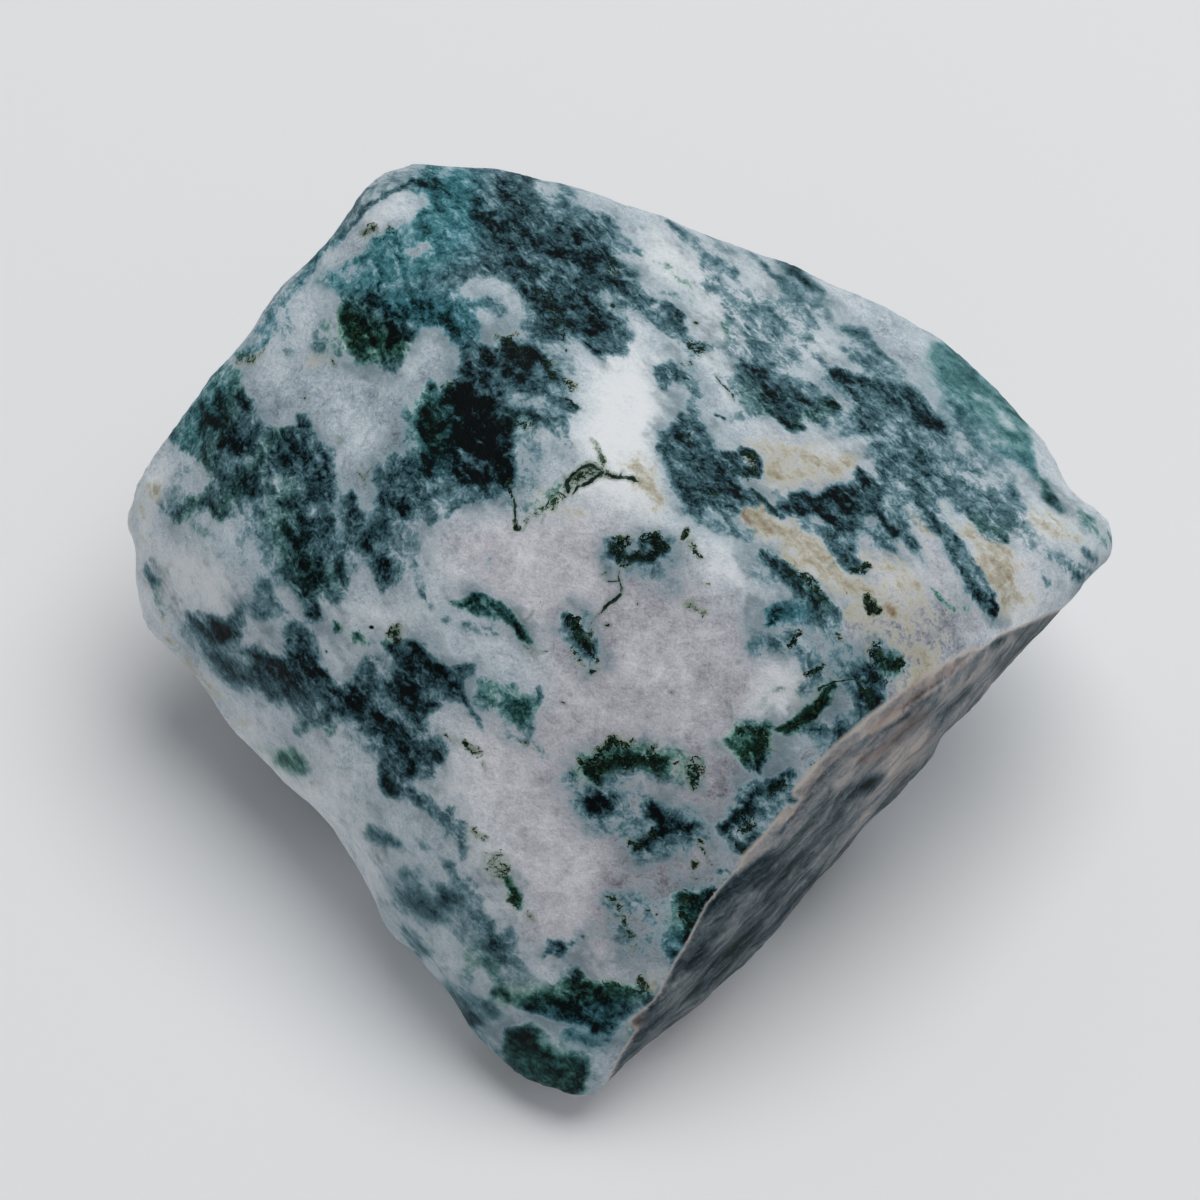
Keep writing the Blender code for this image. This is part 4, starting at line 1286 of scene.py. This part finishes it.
@dataclass(frozen=True)
class Chalcedony:
    """Rough tree agate: milky quartz with a dull broken skin, and green growths inside.

    The white body is sugary and uneven, so it looks soft and cool. The growths are slate-blue
    where they lie deep, and black-green where they reach the skin. The weathered steep face is
    grey and fibrous; its dark tones are partly painted shade. The body is lighter along the left
    rim and low left flank as painted light.

    Attributes:
        view: The photograph's view, in which directions are given.
        roughness: How dull the broken skin is.
        ior: That of quartz.
        shine: How much of the gloss of a polished skin is left.
        relief: How high the finest unevenness stands, in millimetres.
        relief_share: How much of it is shown.
        fibre_way: Which way the fibres of the stone run, seen in the picture: across, up and out.
        steep_way: Which way those of the steep face run.
        swaying: The curls that every other grain follows.
        cloud: Clouds of milk and of growth.
        wide: Broad streaks along the fibres.
        fine: Clots in the growths.
        fleck: The ends of single filaments.
        sugar: The grains of the broken skin.
        fibre: Bundles of filaments.
        curl: Filaments of moss.
        strand: Fibres of the steep face.
        blotch: Its darker and lighter places.
        body: The milky quartz, from grey and see-through to opaque white.
        blushed: The same where it is faintly warm.
        stained: Quartz that iron has stained.
        veil: The growths that lie deep under milky quartz.
        blue: The growths near the skin, from a thin veil to their black hearts.
        teal: The same where they are teal.
        green: The same where they are green.
        mossy: The haze of fine moss.
        tuft: Filaments of moss, from black to green.
        thread: Single threads, from black to green.
        bare_painted_light_and_shade: The weathered steep face; its dark tones are partly painted shade, its
            pale rim partly painted light.
        thread_haze: The haze round a thread.
        rust: What iron makes of the steep face.
    """

    view: FrontView
    roughness: float = 0.55
    ior: float = 1.54
    shine: float = 0.07
    relief: float = 0.06
    relief_share: float = 0.85
    fibre_way: tuple[float, float, float] = (0.55, -0.8, 0.25)
    steep_way: tuple[float, float, float] = (0.62, 0.66, 0.0)
    # Filaments are 0.1 to 0.3 mm thick. The skin's own grains are under 0.03 mm, finer than a
    # pixel, so the sugar is drawn at 0.1 mm, as coarse as it needs to be to show
    swaying: Grain = Grain(0.8, 3.0, 0.6, 5.0)
    cloud: Grain = Grain(2.2)
    wide: Grain = Grain(1.2, 3.0, 0.6, 37.0)
    fine: Grain = Grain(0.55, 5.0, 0.68, 7.0)
    fleck: Grain = Grain(0.17, 2.0, 0.6, 13.0)
    sugar: Grain = Grain(0.1, 1.0, 0.6, 3.0)
    fibre: Grain = Grain(0.36, 4.0, 0.62, 11.0)
    curl: Grain = Grain(0.3, 3.0, 0.6, 17.0)
    strand: Grain = Grain(0.42, 5.0, 0.6, 23.0)
    blotch: Grain = Grain(1.8, 4.0, 0.6, 29.0)
    body: Stops = (
        (0.0, "#65747d"),
        (0.3, "#9dabb4"),
        (0.475, "#b8c5cd"),
        (0.65, "#d2dce1"),
        (0.825, "#e4ebee"),
        (1.0, "#f1f4f5"),
    )
    blushed: Stops = (
        (0.0, "#71717a"),
        (0.3, "#a9a8af"),
        (0.475, "#c0bfc5"),
        (0.65, "#d2d1d6"),
        (0.825, "#e3e2e6"),
        (1.0, "#f1f1f3"),
    )
    stained: Stops = (
        (0.1, "#d9d9ce"),
        (0.35, "#c9c6b4"),
        (0.55, "#b0a994"),
        (0.75, "#958a72"),
        (0.95, "#8e582f"),
    )
    veil: Stops = ((0.1, "#b7c5ca"), (0.5, "#8b9fa6"), (0.9, "#58707a"))
    blue: Stops = (
        (0.1, "#bfcdd2"),
        (0.27, "#98aeb6"),
        (0.44, "#6c8e97"),
        (0.6, "#4d6c74"),
        (0.75, "#304e56"),
        (0.88, "#122c31"),
        (1.0, "#02080a"),
    )
    teal: Stops = (
        (0.1, "#bdd5dc"),
        (0.27, "#8ab2bf"),
        (0.45, "#5a929d"),
        (0.6, "#3d7781"),
        (0.75, "#2b5b63"),
        (0.88, "#0b3539"),
        (1.0, "#020f10"),
    )
    green: Stops = (
        (0.1, "#c6d5cf"),
        (0.27, "#98b8ad"),
        (0.44, "#669489"),
        (0.6, "#3a665c"),
        (0.75, "#1d4238"),
        (0.88, "#0a231b"),
        (1.0, "#020a06"),
    )
    mossy: Stops = ((0.1, "#bcc3b2"), (0.45, "#7d8f78"), (0.75, "#445c48"), (1.0, "#1b3021"))
    tuft: Stops = ((0.35, "#030806"), (0.52, "#0a1b13"), (0.62, "#1c3826"), (0.72, "#3f5230"))
    thread: Stops = ((0.42, "#060d09"), (0.6, "#1c3a30"))
    bare_painted_light_and_shade: Stops = (
        (0.42, "#c4bcb4"),
        (0.55, "#a5a1a0"),
        (0.68, "#7c8488"),
        (0.8, "#535f64"),
        (0.9, "#33424a"),
        (1.0, "#142320"),
    )
    thread_haze: str = "#74897a"
    rust: str = "#7d5a48"

    def dress(self, skin: bpy.types.Object) -> None:
        """Gives the skin its finish."""
        finish = bpy.data.materials.new(STONE_SLOT)
        finish.use_nodes = True
        skin.data.materials.clear()
        skin.data.materials.append(finish)
        shader = finish.node_tree.nodes["Principled BSDF"]
        shader.inputs["IOR"].default_value = self.ior
        shader.inputs["Specular IOR Level"].default_value = self.shine
        shader.inputs["Roughness"].default_value = self.roughness
        layers = StoneLayers(self, finish.node_tree)
        colour, height = layers.laid_up()
        finish.node_tree.links.new(colour, shader.inputs["Base Color"])
        raised = {"Strength": self.relief_share, "Distance": self.relief * MM, "Height": height}
        finish.node_tree.links.new(layers.node("Bump", raised), shader.inputs["Normal"])


class StoneLayers:
    """The stone's finish as it is put together, layer on layer.

    Attributes:
        stone: The finish's colours and grains.
        tree: The finish's tree.
        marks: For each kind of growth, how strongly it shows.
        place: Where on the stone, in millimetres.
        curled: The same, swayed, so that grains curl as they do in the stone.
    """

    def __init__(self, stone: Chalcedony, tree: bpy.types.NodeTree) -> None:
        """Reads the places and the growths, and makes the grains that several layers share.

        Args:
            stone: The finish's colours and grains.
            tree: The finish's tree.
        """
        self.stone = stone
        self.tree = tree
        self.marks = {
            growth: self.node("Attribute", out=2, attribute_name=growth.value) for growth in Growth
        }
        here = self.node("TexCoord", out=3)
        self.place = self.node("VectorMath", {0: here, "Scale": 1.0 / MM}, operation="SCALE")
        sway = self.grained(self.place, stone.swaying, out=1)
        sway = self.node("VectorMath", {0: sway, 1: (0.5, 0.5, 0.5)}, operation="SUBTRACT")
        sway = self.node("VectorMath", {0: sway, "Scale": 0.6}, operation="SCALE")
        self.curled = self.node("VectorMath", {0: self.place, 1: sway}, operation="ADD")
        along = self.drawn_out(stone.fibre_way, 0.75)
        self.wide = self.grained(along, stone.wide)
        self.cloud = self.grained(self.curled, stone.cloud)
        self.fine = self.grained(self.curled, stone.fine)
        self.fleck = self.grained(self.curled, stone.fleck)
        self.sugar = self.grained(self.place, stone.sugar)
        self.fibre = self.grained(along, stone.fibre)
        self.strand = self.grained(self.drawn_out(stone.steep_way, 0.8), stone.strand)

    def node(
        self,
        kind: str,
        inputs: dict[int | str, object] | None = None,
        out: int = 0,
        stops: Stops = (),
        **settings: object,
    ) -> Socket:
        """Adds a node with its settings and links.

        Args:
            kind: The node's type, without its usual first word.
            inputs: For each input, by number or name, a socket to link or a value to set.
            out: Which of the outputs in use is wanted.
            stops: On a colour ramp, where each colour stands.
            **settings: Properties of the node.

        Returns:
            The output.
        """
        new = self.tree.nodes.new("ShaderNode" + kind)
        for name, value in settings.items():
            setattr(new, name, value)
        for name, value in (inputs or {}).items():
            if isinstance(value, Socket):
                self.tree.links.new(value, new.inputs[name])
            else:
                new.inputs[name].default_value = value
        for number, (at, colour) in enumerate(stops):
            if number >= len(new.color_ramp.elements):
                new.color_ramp.elements.new(1.0)
            new.color_ramp.elements[number].position = at
            new.color_ramp.elements[number].color = linear(colour)
        return [socket for socket in new.outputs if socket.enabled][out]

    def grained(self, place: Socket, grain: Grain, out: int = 0) -> Socket:
        """One size of unevenness over the stone, around 0.5."""
        moved = self.node("VectorMath", {0: place, 1: (grain.start,) * 3}, operation="ADD")
        settings = {"Scale": 1.0 / grain.size, "Detail": grain.detail, "Roughness": grain.rough}
        return self.node("TexNoise", {"Vector": moved, **settings}, out=out)

    def drawn_out(self, way: Sequence[float], share: float) -> Socket:
        """Places drawn together along one direction, so that a pattern on them runs along it."""
        line = self.stone.view.turned(way).normalized()
        along = self.node("VectorMath", {0: self.curled, 1: line}, operation="DOT_PRODUCT")
        step = self.node("VectorMath", {0: line, "Scale": along}, operation="SCALE")
        step = self.node("VectorMath", {0: step, "Scale": share}, operation="SCALE")
        return self.node("VectorMath", {0: self.curled, 1: step}, operation="SUBTRACT")

    def veined(self, grain: Socket) -> Socket:
        """How far a grain is from its middle value, which runs over the stone in thin lines."""
        apart = self.node("Math", {0: grain, 1: 0.5}, operation="SUBTRACT")
        return self.node("Math", {0: apart}, operation="ABSOLUTE")

    def shaken(self, value: Socket | float, parts: Parts) -> Socket:
        """Adds shares of several unevennesses to a value, so that it keeps its mean."""
        for part, share in parts:
            apart = self.node("Math", {0: part, 1: 0.5}, operation="SUBTRACT")
            value = self.node("Math", {0: apart, 1: share, 2: value}, operation="MULTIPLY_ADD")
        return value

    def mixed(self, share: Socket, under: Socket, over: Socket | Colour) -> Socket:
        """One colour over another."""
        return self.node("Mix", {0: share, 6: under, 7: over}, data_type="RGBA")

    def growing(self, value: Socket, low: float, high: float, most: float = 1.0) -> Socket:
        """A share that grows smoothly with a value, from nothing at one to the most at another."""
        return self.node("MapRange", {0: value, 1: low, 2: high, 4: most}, **SMOOTH)

    def between(self, value: Socket, first: float, last: float) -> Socket:
        """A share that changes evenly from a value of 0 to one of 1."""
        return self.node("MapRange", {0: value, 3: first, 4: last})

    def times(self, share: Socket, other: Socket) -> Socket:
        """The one share of the other."""
        return self.node("Math", {0: share, 1: other}, operation="MULTIPLY")

    def off_slate(self, share: Socket) -> Socket:
        """Holds a share back where slate growths lie, which hide what is under them."""
        clear = {0: self.marks[Growth.SLATE], 1: 0.15, 2: 0.5, 3: 1.0, 4: 0.0}
        return self.times(share, self.node("MapRange", clear))

    def laid_up(self) -> tuple[Socket, Socket]:
        """Lays every layer over the one under it.

        Returns:
            The stone's colour and its relief.
        """
        colour = self.milky()
        for layer in (self.veiled, self.stained, self.grown, self.mossed, self.threaded):
            colour = layer(colour)
        # The steep face's colour, partly painted shade and along its rim partly painted light, goes over the
        # rest
        steep_share = self.growing(self.marks[Growth.CRUST_PAINTED_LIGHT_AND_SHADE], 0.1, 0.45)
        return self.mixed(steep_share, colour, self.steep_face()), self.raised(steep_share)

    def milky(self) -> Socket:
        """The body: cloudy, with opaque grains and clear pits, and bluer near the growths. It is lighter
        along the left rim and low left flank, as painted light.
        """
        near = {0: self.marks[Growth.HALO], 1: -0.22, 2: self.marks[Growth.MILK_AND_PAINTED_LIGHT]}
        milk_and_painted_light = self.node("Math", near, operation="MULTIPLY_ADD")
        milk_and_painted_light = self.node("Math", {0: milk_and_painted_light, 1: 0.7, 2: 0.3}, operation="MULTIPLY_ADD")
        parts = ((self.cloud, 1.0), (self.fine, 0.9), (self.fleck, 0.45), (self.sugar, 0.4))
        milk_and_painted_light = self.shaken(milk_and_painted_light, parts)
        cool = self.node("ValToRGB", {0: milk_and_painted_light}, stops=self.stone.body)
        warm = self.node("ValToRGB", {0: milk_and_painted_light}, stops=self.stone.blushed)
        return self.mixed(self.marks[Growth.BLUSH], cool, warm)

    def veiled(self, colour: Socket) -> Socket:
        """Ragged veils of the growths that lie deeper in the stone, all round them."""
        halo = self.marks[Growth.HALO]
        veil = self.shaken(halo, ((self.cloud, 1.7), (self.wide, 1.3), (self.fine, 1.1)))
        tone = self.node("ValToRGB", {0: veil}, stops=self.stone.veil)
        share = self.times(self.growing(veil, 0.1, 0.75, 0.75), self.growing(halo, 0.0, 0.25))
        return self.mixed(share, colour, tone)

    def stained(self, colour: Socket) -> Socket:
        """Cream and tan iron stains, with rusty specks."""
        mark = self.marks[Growth.STAIN]
        parts = ((self.fine, 1.0), (self.fleck, 0.5), (self.fibre, 0.7), (self.cloud, 1.3))
        stain = self.shaken(mark, parts)
        tone = self.node("ValToRGB", {0: stain}, stops=self.stone.stained)
        share = self.times(self.growing(stain, 0.05, 0.5, 0.92), self.growing(mark, 0.0, 0.15))
        return self.mixed(share, colour, tone)

    def grown(self, colour: Socket) -> Socket:
        """The growths, which fray into fibres and grains at their edges and are streaked inside."""
        slate, deep = self.marks[Growth.SLATE], self.marks[Growth.DEEP]
        ridge = self.node("MapRange", {0: self.veined(self.fibre), 1: 0.0, 2: 0.14, 3: 0.65, 4: 0.4})
        edge = self.node("MapRange", {0: slate, 1: 0.3, 2: 0.6, 3: 1.0, 4: 0.35}, **SMOOTH)
        small = self.shaken(0.0, ((ridge, 0.6), (self.fibre, 1.0), (self.fine, 1.0), (self.fleck, 0.8)))
        small = self.times(small, self.between(deep, 1.0, 0.25))
        fray = self.shaken(small, ((self.fine, 0.5), (self.wide, 0.6), (self.cloud, 0.5)))
        frayed = self.node("Math", {0: fray, 1: edge, 2: slate}, operation="MULTIPLY_ADD")
        streaked = self.node("Math", {0: small, 1: 0.8, 2: slate}, operation="MULTIPLY_ADD")
        streaked = self.shaken(streaked, ((self.wide, 0.9), (self.fine, 0.6), (self.cloud, 0.6)))
        tone = self.node("ValToRGB", {0: streaked}, stops=self.stone.blue)
        for growth, stops in ((Growth.TEAL, self.stone.teal), (Growth.GREEN, self.stone.green)):
            tinted = self.node("ValToRGB", {0: streaked}, stops=stops)
            tone = self.mixed(self.marks[growth], tone, tinted)
        crisp = self.times(self.growing(frayed, 0.14, 0.34), self.growing(slate, 0.04, 0.3))
        soft = self.growing(slate, 0.0, 0.4)
        share = self.node("Mix", {0: self.between(deep, 0.7, 0.2), 2: soft, 3: crisp})
        return self.mixed(share, colour, tone)

    def mossed(self, colour: Socket) -> Socket:
        """Moss: an olive haze, and in it dark curled filaments."""
        moss = self.marks[Growth.MOSS]
        haze = self.shaken(moss, ((self.fine, 0.8), (self.fleck, 0.6)))
        tone = self.node("ValToRGB", {0: haze}, stops=self.stone.mossy)
        share = self.times(self.growing(haze, 0.0, 0.6, 0.85), self.growing(moss, 0.0, 0.2))
        colour = self.mixed(self.off_slate(share), colour, tone)
        line = self.veined(self.grained(self.curled, self.stone.curl))
        line = self.node("Math", {0: line, 1: -4.0}, operation="MULTIPLY")
        tufted = self.node("Math", {0: moss, 1: 0.78, 2: line}, operation="MULTIPLY_ADD")
        tufted = self.shaken(tufted, ((self.fine, 1.0), (self.fleck, 0.8)))
        near = self.between(self.marks[Growth.DEEP], 1.0, 0.4)
        tone = self.node("ValToRGB", {0: self.fleck}, stops=self.stone.tuft)
        return self.mixed(self.times(self.growing(tufted, 0.2, 0.3), near), colour, tone)

    def threaded(self, colour: Socket) -> Socket:
        """Threads with a thin haze, and dots where they end."""
        mark = self.marks[Growth.THREAD]
        thread = self.shaken(mark, ((self.fine, 0.45), (self.fleck, 0.3)))
        share = self.times(self.growing(thread, 0.1, 0.5, 0.5), self.growing(mark, 0.0, 0.2))
        colour = self.mixed(self.off_slate(share), colour, linear(self.stone.thread_haze))
        tone = self.node("ValToRGB", {0: self.fleck}, stops=self.stone.thread)
        return self.mixed(self.growing(thread, 0.47, 0.57), colour, tone)

    def steep_face(self) -> Socket:
        """The steep face: dull slate and grey, streaked along the edge, and rusty in places. Its dark tones
        are partly painted shade, and its pale rim partly painted light.
        """
        blotch = self.grained(self.drawn_out(self.stone.steep_way, 0.6), self.stone.blotch)
        parts = ((self.strand, 0.75), (blotch, 0.55), (self.fleck, 0.15))
        dark = self.shaken(self.marks[Growth.CRUST_PAINTED_LIGHT_AND_SHADE], parts)
        tone = self.node("ValToRGB", {0: dark}, stops=self.stone.bare_painted_light_and_shade)
        rust = self.node("MapRange", {0: self.marks[Growth.STAIN], 1: 0.1, 2: 0.9, 4: 0.6})
        return self.mixed(rust, tone, linear(self.stone.rust))

    def raised(self, steep_share: Socket) -> Socket:
        """The relief: sugary grains and the ends of fibres, and long strands on the steep face."""
        height = self.node("Math", {0: self.fibre, 1: 0.12}, operation="MULTIPLY")
        height = self.shaken(height, ((self.fine, 1.0), (self.fleck, 0.35), (self.sugar, 0.3)))
        smooth = self.node("Math", {0: steep_share, 1: -0.6, 2: 1.0}, operation="MULTIPLY_ADD")
        height = self.times(height, smooth)
        return self.node("Math", {0: self.strand, 1: steep_share, 2: height}, operation="MULTIPLY_ADD")


@dataclass
class StoneSkin:
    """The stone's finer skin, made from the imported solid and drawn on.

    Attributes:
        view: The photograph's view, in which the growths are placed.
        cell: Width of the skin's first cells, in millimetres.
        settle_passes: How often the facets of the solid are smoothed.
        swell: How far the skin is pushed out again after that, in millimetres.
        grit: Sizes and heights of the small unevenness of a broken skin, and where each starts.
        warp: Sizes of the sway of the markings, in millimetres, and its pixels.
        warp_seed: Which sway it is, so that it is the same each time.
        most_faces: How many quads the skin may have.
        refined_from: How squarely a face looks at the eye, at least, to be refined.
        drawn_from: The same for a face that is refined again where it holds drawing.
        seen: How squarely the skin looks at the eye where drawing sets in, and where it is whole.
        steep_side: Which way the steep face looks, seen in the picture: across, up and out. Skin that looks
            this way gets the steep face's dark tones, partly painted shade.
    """

    view: FrontView
    cell: float = 0.4
    settle_passes: int = 2
    swell: float = 0.07
    grit: tuple[tuple[float, float, float], ...] = ((1.3, 0.05, 5.0), (0.6, 0.025, 19.0), (0.3, 0.012, 43.0))
    warp: tuple[tuple[float, float], ...] = ((1.6, 5.0), (0.6, 2.5), (0.25, 1.2))
    warp_seed: int = 7
    most_faces: int = 92000
    refined_from: float = -0.1
    drawn_from: float = 0.05
    seen: tuple[float, float] = (-0.25, 0.03)
    steep_side: tuple[float, float, float] = (0.6, -0.66, 0.44)

    def build(self, solid: bpy.types.Object) -> bpy.types.Object:
        """Makes the skin, draws the growths on it and dresses it.

        Args:
            solid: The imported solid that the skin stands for.

        Returns:
            The finished skin.
        """
        skin = self.copied(solid)
        self.remeshed(skin)
        centres, normals = self.faces_of(skin)
        self.refine(skin, self.view.facing(centres, normals) > self.refined_from)
        self.refine(skin, self.detailed(skin))
        self.mark(skin)
        self.roughen(skin)
        Chalcedony(self.view).dress(skin)
        skin.data.shade_smooth()
        return skin

    def copied(self, solid: bpy.types.Object) -> bpy.types.Object:
        """Copies the solid and merges its loose triangles."""
        bpy.ops.object.select_all(action="DESELECT")
        skin = solid.copy()
        skin.data = solid.data.copy()
        skin.name = "tree_agate_skin"
        for key in list(skin.keys()):
            del skin[key]
        skin.parent = None
        bpy.context.scene.collection.objects.link(skin)
        skin.select_set(True)
        bpy.context.view_layer.objects.active = skin
        bpy.ops.object.mode_set(mode="EDIT")
        bpy.ops.mesh.select_all(action="SELECT")
        bpy.ops.mesh.remove_doubles(threshold=1e-3 * MM)
        bpy.ops.object.mode_set(mode="OBJECT")
        return skin

    def remeshed(self, skin: bpy.types.Object) -> None:
        """Gives the skin even cells, and settles the facets of the solid."""
        cells = skin.modifiers.new("cells", "REMESH")
        cells.mode = "VOXEL"
        cells.voxel_size = self.cell * MM
        bpy.ops.object.modifier_apply(modifier=cells.name)
        settle = skin.modifiers.new("settle", "SMOOTH")
        settle.iterations = self.settle_passes
        bpy.ops.object.modifier_apply(modifier=settle.name)

    def faces_of(self, skin: bpy.types.Object) -> tuple[Values, Values]:
        """The middles of the skin's faces, in metres, and their normals."""
        faces = skin.data.polygons
        centres = np.empty(len(faces) * 3)
        normals = np.empty(len(faces) * 3)
        faces.foreach_get("center", centres)
        faces.foreach_get("normal", normals)
        return centres.reshape(-1, 3), normals.reshape(-1, 3)

    def detailed(self, skin: bpy.types.Object) -> Values:
        """Which faces hold the most drawing, as many as the skin may still split."""
        centres, normals = self.faces_of(skin)
        facing = self.view.facing(centres, normals)
        points, _ = self.points_of(skin)
        spots = self.view.pixels(points) + self.warped(points)
        starts = np.empty(len(centres), dtype=np.int32)
        skin.data.polygons.foreach_get("loop_start", starts)
        corners = np.empty(len(skin.data.loops), dtype=np.int32)
        skin.data.loops.foreach_get("vertex_index", corners)
        change = np.zeros(len(centres))
        for growth in (Growth.SLATE, Growth.MOSS, Growth.THREAD):
            values = LAYINGS[growth].drawn(spots)[corners]
            high = np.maximum.reduceat(values, starts)
            change += high - np.minimum.reduceat(values, starts) + 0.1 * (high > 0.1)
        change[facing < self.drawn_from] = 0.0
        spare = max((self.most_faces - len(centres)) // 3, 0)
        chosen = np.zeros(len(centres), dtype=bool)
        chosen[np.argsort(-change.round(6), kind="stable")[:spare]] = True
        return chosen & (change > 0.0)

    def refine(self, skin: bpy.types.Object, chosen: Values) -> None:
        """Splits the chosen faces in four.

        Args:
            skin: The skin.
            chosen: For each face, whether it is split.
        """
        bpy.context.tool_settings.mesh_select_mode = (False, False, True)
        bpy.ops.object.mode_set(mode="EDIT")
        bpy.ops.mesh.select_all(action="DESELECT")
        bpy.ops.object.mode_set(mode="OBJECT")
        skin.data.polygons.foreach_set("select", chosen.astype(bool))
        bpy.ops.object.mode_set(mode="EDIT")
        bpy.ops.mesh.subdivide(number_cuts=1)
        bpy.ops.object.mode_set(mode="OBJECT")

    def roughen(self, skin: bpy.types.Object) -> None:
        """Raises the small grit and hollows of a broken skin."""
        points, normals = self.points_of(skin)
        rise = np.full(len(points), self.swell)
        for size, height, start in self.grit:
            rise += height * drift(points / MM, size, start, 1)
        points += normals * rise[:, None] * MM
        points[:, 2] = np.maximum(points[:, 2], 0.0)
        skin.data.vertices.foreach_set("co", points.ravel())
        skin.data.update()

    def mark(self, skin: bpy.types.Object) -> None:
        """Draws every growth on the skin, as one attribute for each kind."""
        points, normals = self.points_of(skin)
        flat = self.view.pixels(points)
        spots = flat + self.warped(points)
        seen = fade(self.view.facing(points, normals), *self.seen)
        hidden = self.unseen_growths(points, normals)
        drawn = {growth: laying.drawn(spots) for growth, laying in LAYINGS.items()}
        drawn[Growth.CRUST_PAINTED_LIGHT_AND_SHADE] = LAYINGS[Growth.CRUST_PAINTED_LIGHT_AND_SHADE].drawn(flat)
        for growth, values in drawn.items():
            mixed = hidden[growth] + (values - hidden[growth]) * seen
            layer = skin.data.attributes.new(growth.value, "FLOAT", "POINT")
            layer.data.foreach_set("value", mixed.astype(np.float32))

    def unseen_growths(self, points: Values, normals: Values) -> dict[Growth, Values]:
        """Growths of the same kinds for the sides that the photograph doesn't show.

        Args:
            points: One row for each place, in metres.
            normals: Which way the skin looks at each.

        Returns:
            For each kind, one value for each place.
        """
        places = points / MM
        steep = normals @ np.array(self.view.turned(self.steep_side))
        body = drift(places, 6.5, 3.0, 4)
        heart = drift(places, 3.0, 9.0, 4)
        edge = np.abs(drift(places, 2.2, 15.0, 2))
        slate = 0.66 * fade(body, 0.06, 0.22) + 0.34 * fade(body + 0.5 * heart, 0.28, 0.42)
        moss = fade(heart, 0.12, 0.4) * fade(body, -0.15, 0.1) * 0.8
        return {
            Growth.SLATE: slate,
            Growth.HALO: 0.6 * fade(body, -0.15, 0.2),
            Growth.DEEP: fade(drift(places, 8.0, 51.0), -0.1, 0.3),
            Growth.MOSS: moss,
            Growth.THREAD: 0.7 * fade(0.03 - edge, 0.0, 0.03) * (heart < -0.1),
            Growth.MILK_AND_PAINTED_LIGHT: np.clip(0.5 + 0.9 * drift(places, 5.0, 21.0), 0.0, 1.0),
            Growth.STAIN: 0.4 * fade(drift(places, 6.0, 27.0, 5), 0.0, 0.6),
            Growth.GREEN: fade(drift(places, 6.0, 33.0), 0.0, 0.25),
            Growth.TEAL: fade(drift(places, 7.0, 39.0), 0.1, 0.3),
            Growth.BLUSH: fade(drift(places, 9.0, 45.0), -0.1, 0.3),
            # Partly painted shade: skin that looks down and to the right, as the steep face does, gets its
            # dark tones
            Growth.CRUST_PAINTED_LIGHT_AND_SHADE: fade(steep, 0.55, 0.7) * (0.75 + 0.2 * drift(places, 5.0, 61.0)),
        }

    def points_of(self, skin: bpy.types.Object) -> tuple[Values, Values]:
        """The skin's points and normals, in metres."""
        count = len(skin.data.vertices)
        points = np.empty(count * 3)
        normals = np.empty(count * 3)
        skin.data.vertices.foreach_get("co", points)
        skin.data.vertex_normals.foreach_get("vector", normals)
        return points.reshape(-1, 3), normals.reshape(-1, 3)

    def warped(self, points: Values) -> Values:
        """Pixels by which each place is shifted, so that no marking has a drawn edge."""
        noise.seed_set(self.warp_seed)
        shift = np.zeros((len(points), 2))
        for size, amount in self.warp:
            rows = points / (size * MM)
            shift += amount * np.array([noise.noise_vector(Vector(row))[:2] for row in rows])
        return shift


def main() -> None:
    """Builds the view, the studio and the stone."""
    logging.basicConfig(level=logging.INFO, format="%(message)s")
    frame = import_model()
    view = FrontView()
    view.place_camera()
    studio = Studio()
    studio.light(view)
    studio.lay_floor()
    skin = StoneSkin(view).build(frame["nodes"][STONE])
    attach(skin, "root")
    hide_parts(STONE)
    LOG.info("%s: %d points, %d faces", skin.name, len(skin.data.vertices), len(skin.data.polygons))


if __name__ == "__main__":
    main()
